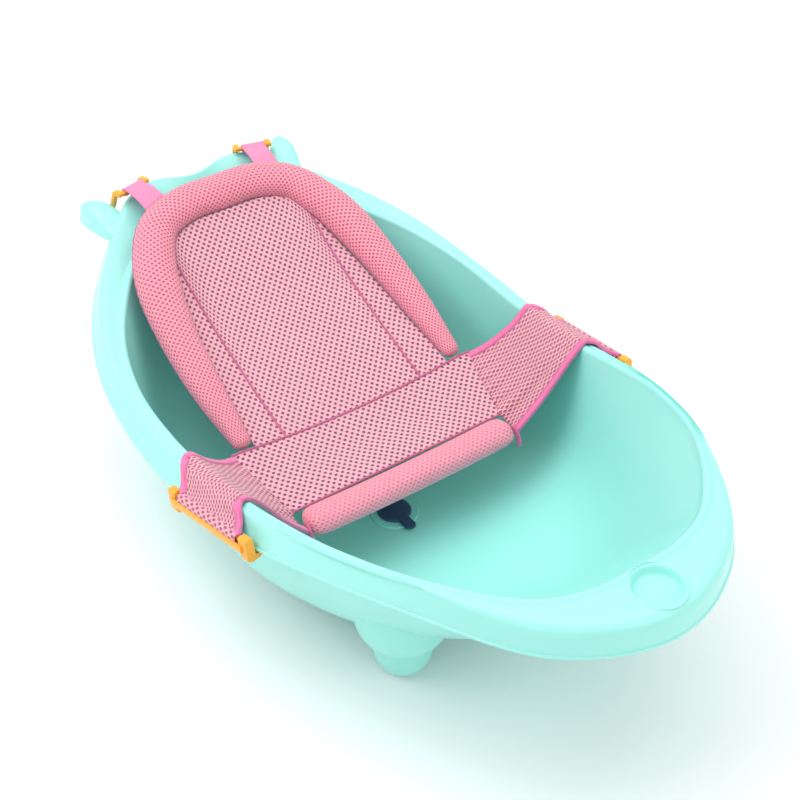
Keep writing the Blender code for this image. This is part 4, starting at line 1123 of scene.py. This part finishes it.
def bar_of(name, section, matrix, reach, half, middle_y, softness):
    """A short bar with softened ends along the clip's Y axis, from a section in X and Z."""
    outline = rounded_profile(section, softness, 4)
    middle = np.mean(np.array(outline), axis=0)
    layers = []
    for depth, inset in ((-1.0, 0.6), (-0.94, 0.2), (-0.87, 0.0), (0.87, 0.0), (0.94, 0.2), (1.0, 0.6)):
        ring = []
        for x, z in outline:
            toward = middle - np.array((x, z))
            shift = toward / np.linalg.norm(toward) * inset * softness
            ring.append(tuple(matrix @ Vector((x + shift[0], middle_y + depth * half, z + shift[1]))))
        layers.append(ring)
    return solid(name, np.array(layers))


def make_clip(name, matrix, half_length, block, block_half, rail):
    """A moulded clip: a round bar between two hooked end blocks, and on the side clips an outer rail."""
    reach = half_length + block_half
    line = [matrix @ Vector((0.0, y, 0.0)) for y in np.linspace(-reach, reach, 24)]
    grid = sweep(np.array(line), circle(BAR_RADIUS, 28), lambda i: (0.0, 0.0, 1.0))
    clip = grid_mesh(name, grid, orange, closed=True, capped=True)
    outward_faces(clip)
    for side in (-1, 1):
        join(clip, bar_of("block", block, matrix, reach, block_half, side * reach, 0.0012))
    if rail:
        join(clip, bar_of("rail", rail, matrix, reach, reach, 0.0, 0.0006))
    sharpen(clip, 38)
    return clip


def make_clips():
    front, rear = side_bar_ends()
    half = float(np.linalg.norm(rear - front)) / 2 + 0.0046
    for name, matrix, length, block, block_half, rail in (
            ("side", bar_frame(front, rear), half, SIDE_BLOCK, 0.0060, SIDE_RAIL),
            ("head", head_bar_frame(), HEAD_CLIP_HALF - 0.004, HEAD_BLOCK, 0.0030, None)):
        right = make_clip("%s_clip_body_right" % name, matrix, length, block, block_half, rail)
        left = mirrored(right, "%s_clip_body_left" % name)
        for obj, side in ((right, "right"), (left, "left")):
            obj.data.materials.clear()
            obj.data.materials.append(orange)
            sharpen(obj, 38)
            finish_piece(obj, "clip_%s_%s" % (name, side), "orange_plastic", "%s_clip_%s" % (name, side))


def bolster_outer_point(x, clearance):
    """A point by the outside of the bolster's head end."""
    line = bolster_line(300)
    line = line[(np.abs(line[:, 0]) < 0.11) & (line[:, 1] > 0.28)]
    along = np.gradient(line[:, :2], axis=0)
    along /= np.linalg.norm(along, axis=1)[:, None]
    out = np.column_stack([-along[:, 1], along[:, 0]])
    out = out * np.sign(out[:, 1])[:, None]
    edge = line[:, :2] + out * (line[:, 2] + clearance)[:, None]
    order = np.argsort(edge[:, 0])
    y = float(np.interp(x, edge[order, 0], edge[order, 1]))
    centre_y = float(np.interp(x, edge[order, 0], line[order, 1]))
    slope = 0.25 + 2 * BACK_CURVE * (centre_y + 0.007)
    return Vector((x, y, back_height(centre_y) + BOLSTER_LIFT + slope * (y - centre_y)))


def make_straps():
    """Webbing from the bolster's head end up to each head clip, looped round the clip's bar."""
    matrix = head_bar_frame()
    columns = []
    for share in np.linspace(-0.5, 0.5, 13):
        start = bolster_outer_point(matrix.translation.x - 0.006 + STRAP_WIDTH * share, -0.0020)
        approach = matrix @ Vector((-0.0075, -STRAP_WIDTH * share, SLEEVE_RADIUS - 0.0016))
        points = [start, start.lerp(approach, 0.5) + Vector((0.0, 0.0, 0.0016)), approach]
        for turn in np.linspace(100, -150, 14):
            angle = math.radians(turn)
            points.append(matrix @ Vector(((SLEEVE_RADIUS - 0.0008) * math.cos(angle), -STRAP_WIDTH * share,
                                           (SLEEVE_RADIUS - 0.0008) * math.sin(angle))))
        columns.append(by_length(spline([tuple(p) for p in points], 80), 60))
    grid = np.array(columns).transpose(1, 0, 2)
    strap = grid_mesh("strap_right", grid, strap_web, uv=cloth_uv(grid))
    solidify(strap, 0.0015)
    other = mirrored(strap, "strap_left")
    finish_piece(strap, "tub", "pink_tape", "head_strap_right")
    finish_piece(other, "tub", "pink_tape", "head_strap_left")


# ---------------------------------------------------------------- scene
def dress_cad_nodes():
    """Materials for the CAD nodes that stay as they are."""
    for name, material in (("drain_seat", mint), ("drain_lock_nut", mint), ("drain_gasket", rubber)):
        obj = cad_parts[name]
        obj.data.materials.clear()
        obj.data.materials.append(material)


def area_light(name, place, target, size, power, colour=(1.0, 1.0, 1.0)):
    data = bpy.data.lights.new(name, "AREA")
    data.shape = "RECTANGLE"
    data.size, data.size_y = size
    data.energy = power
    data.color = colour
    obj = bpy.data.objects.new(name, data)
    bpy.context.scene.collection.objects.link(obj)
    obj.location = place
    obj.rotation_euler = (Vector(target) - Vector(place)).to_track_quat("-Z", "Y").to_euler()


def make_set():
    floor = mesh_object("floor", [(-9, -9, 0), (9, -9, 0), (9, 9, 0), (-9, 9, 0)], [(0, 1, 2, 3)])
    pale = Shader("pale_floor", 0.9)
    pale.colour(pale.mix(pale.grain(0.8), (0.93, 0.93, 0.93, 1.0), (0.96, 0.96, 0.96, 1.0)))
    floor.data.materials.append(pale.material)
    world = bpy.data.worlds.new("studio")
    world.use_nodes = True
    world.node_tree.nodes["Background"].inputs["Color"].default_value = (1.0, 1.0, 1.0, 1.0)
    world.node_tree.nodes["Background"].inputs["Strength"].default_value = 0.70
    bpy.context.scene.world = world
    area_light("key", (-1.3, 0.9, 2.3), (0.0, 0.0, 0.1), (2.2, 2.2), 36)
    area_light("top", (0.3, 0.2, 2.6), (0.0, 0.0, 0.1), (2.4, 2.4), 26)
    area_light("fill", (0.8, -2.2, 1.5), (0.0, 0.0, 0.1), (2.2, 1.6), 12)
    bpy.context.scene.view_settings.view_transform = "Standard"


def make_camera():
    azimuth, elevation, roll = math.radians(-35.2934), math.radians(40.4861), math.radians(0.25)
    back = Vector((math.sin(azimuth) * math.cos(elevation), -math.cos(azimuth) * math.cos(elevation),
                   math.sin(elevation)))
    right = Vector((math.cos(azimuth), math.sin(azimuth), 0.0))
    up = back.cross(right)
    turned_right = right * math.cos(roll) + up * math.sin(roll)
    turned_up = up * math.cos(roll) - right * math.sin(roll)
    data = bpy.data.cameras.new("camera")
    camera = bpy.data.objects.new("camera", data)
    bpy.context.scene.collection.objects.link(camera)
    matrix = Matrix((turned_right, turned_up, back)).transposed().to_4x4()
    matrix.translation = Vector((0.0, -0.0264, 0.1795)) + back * 1.5275
    camera.matrix_world = matrix
    data.sensor_width = 36.0
    data.lens = 67.904
    data.shift_x = -0.0031
    data.shift_y = 0.0091
    bpy.context.scene.camera = camera


make_tub()
make_feet()
make_plug()
make_bolster()
make_panels()
make_foot_roll()
make_wings()
make_tails()
make_clips()
make_straps()
dress_cad_nodes()
make_set()
make_camera()
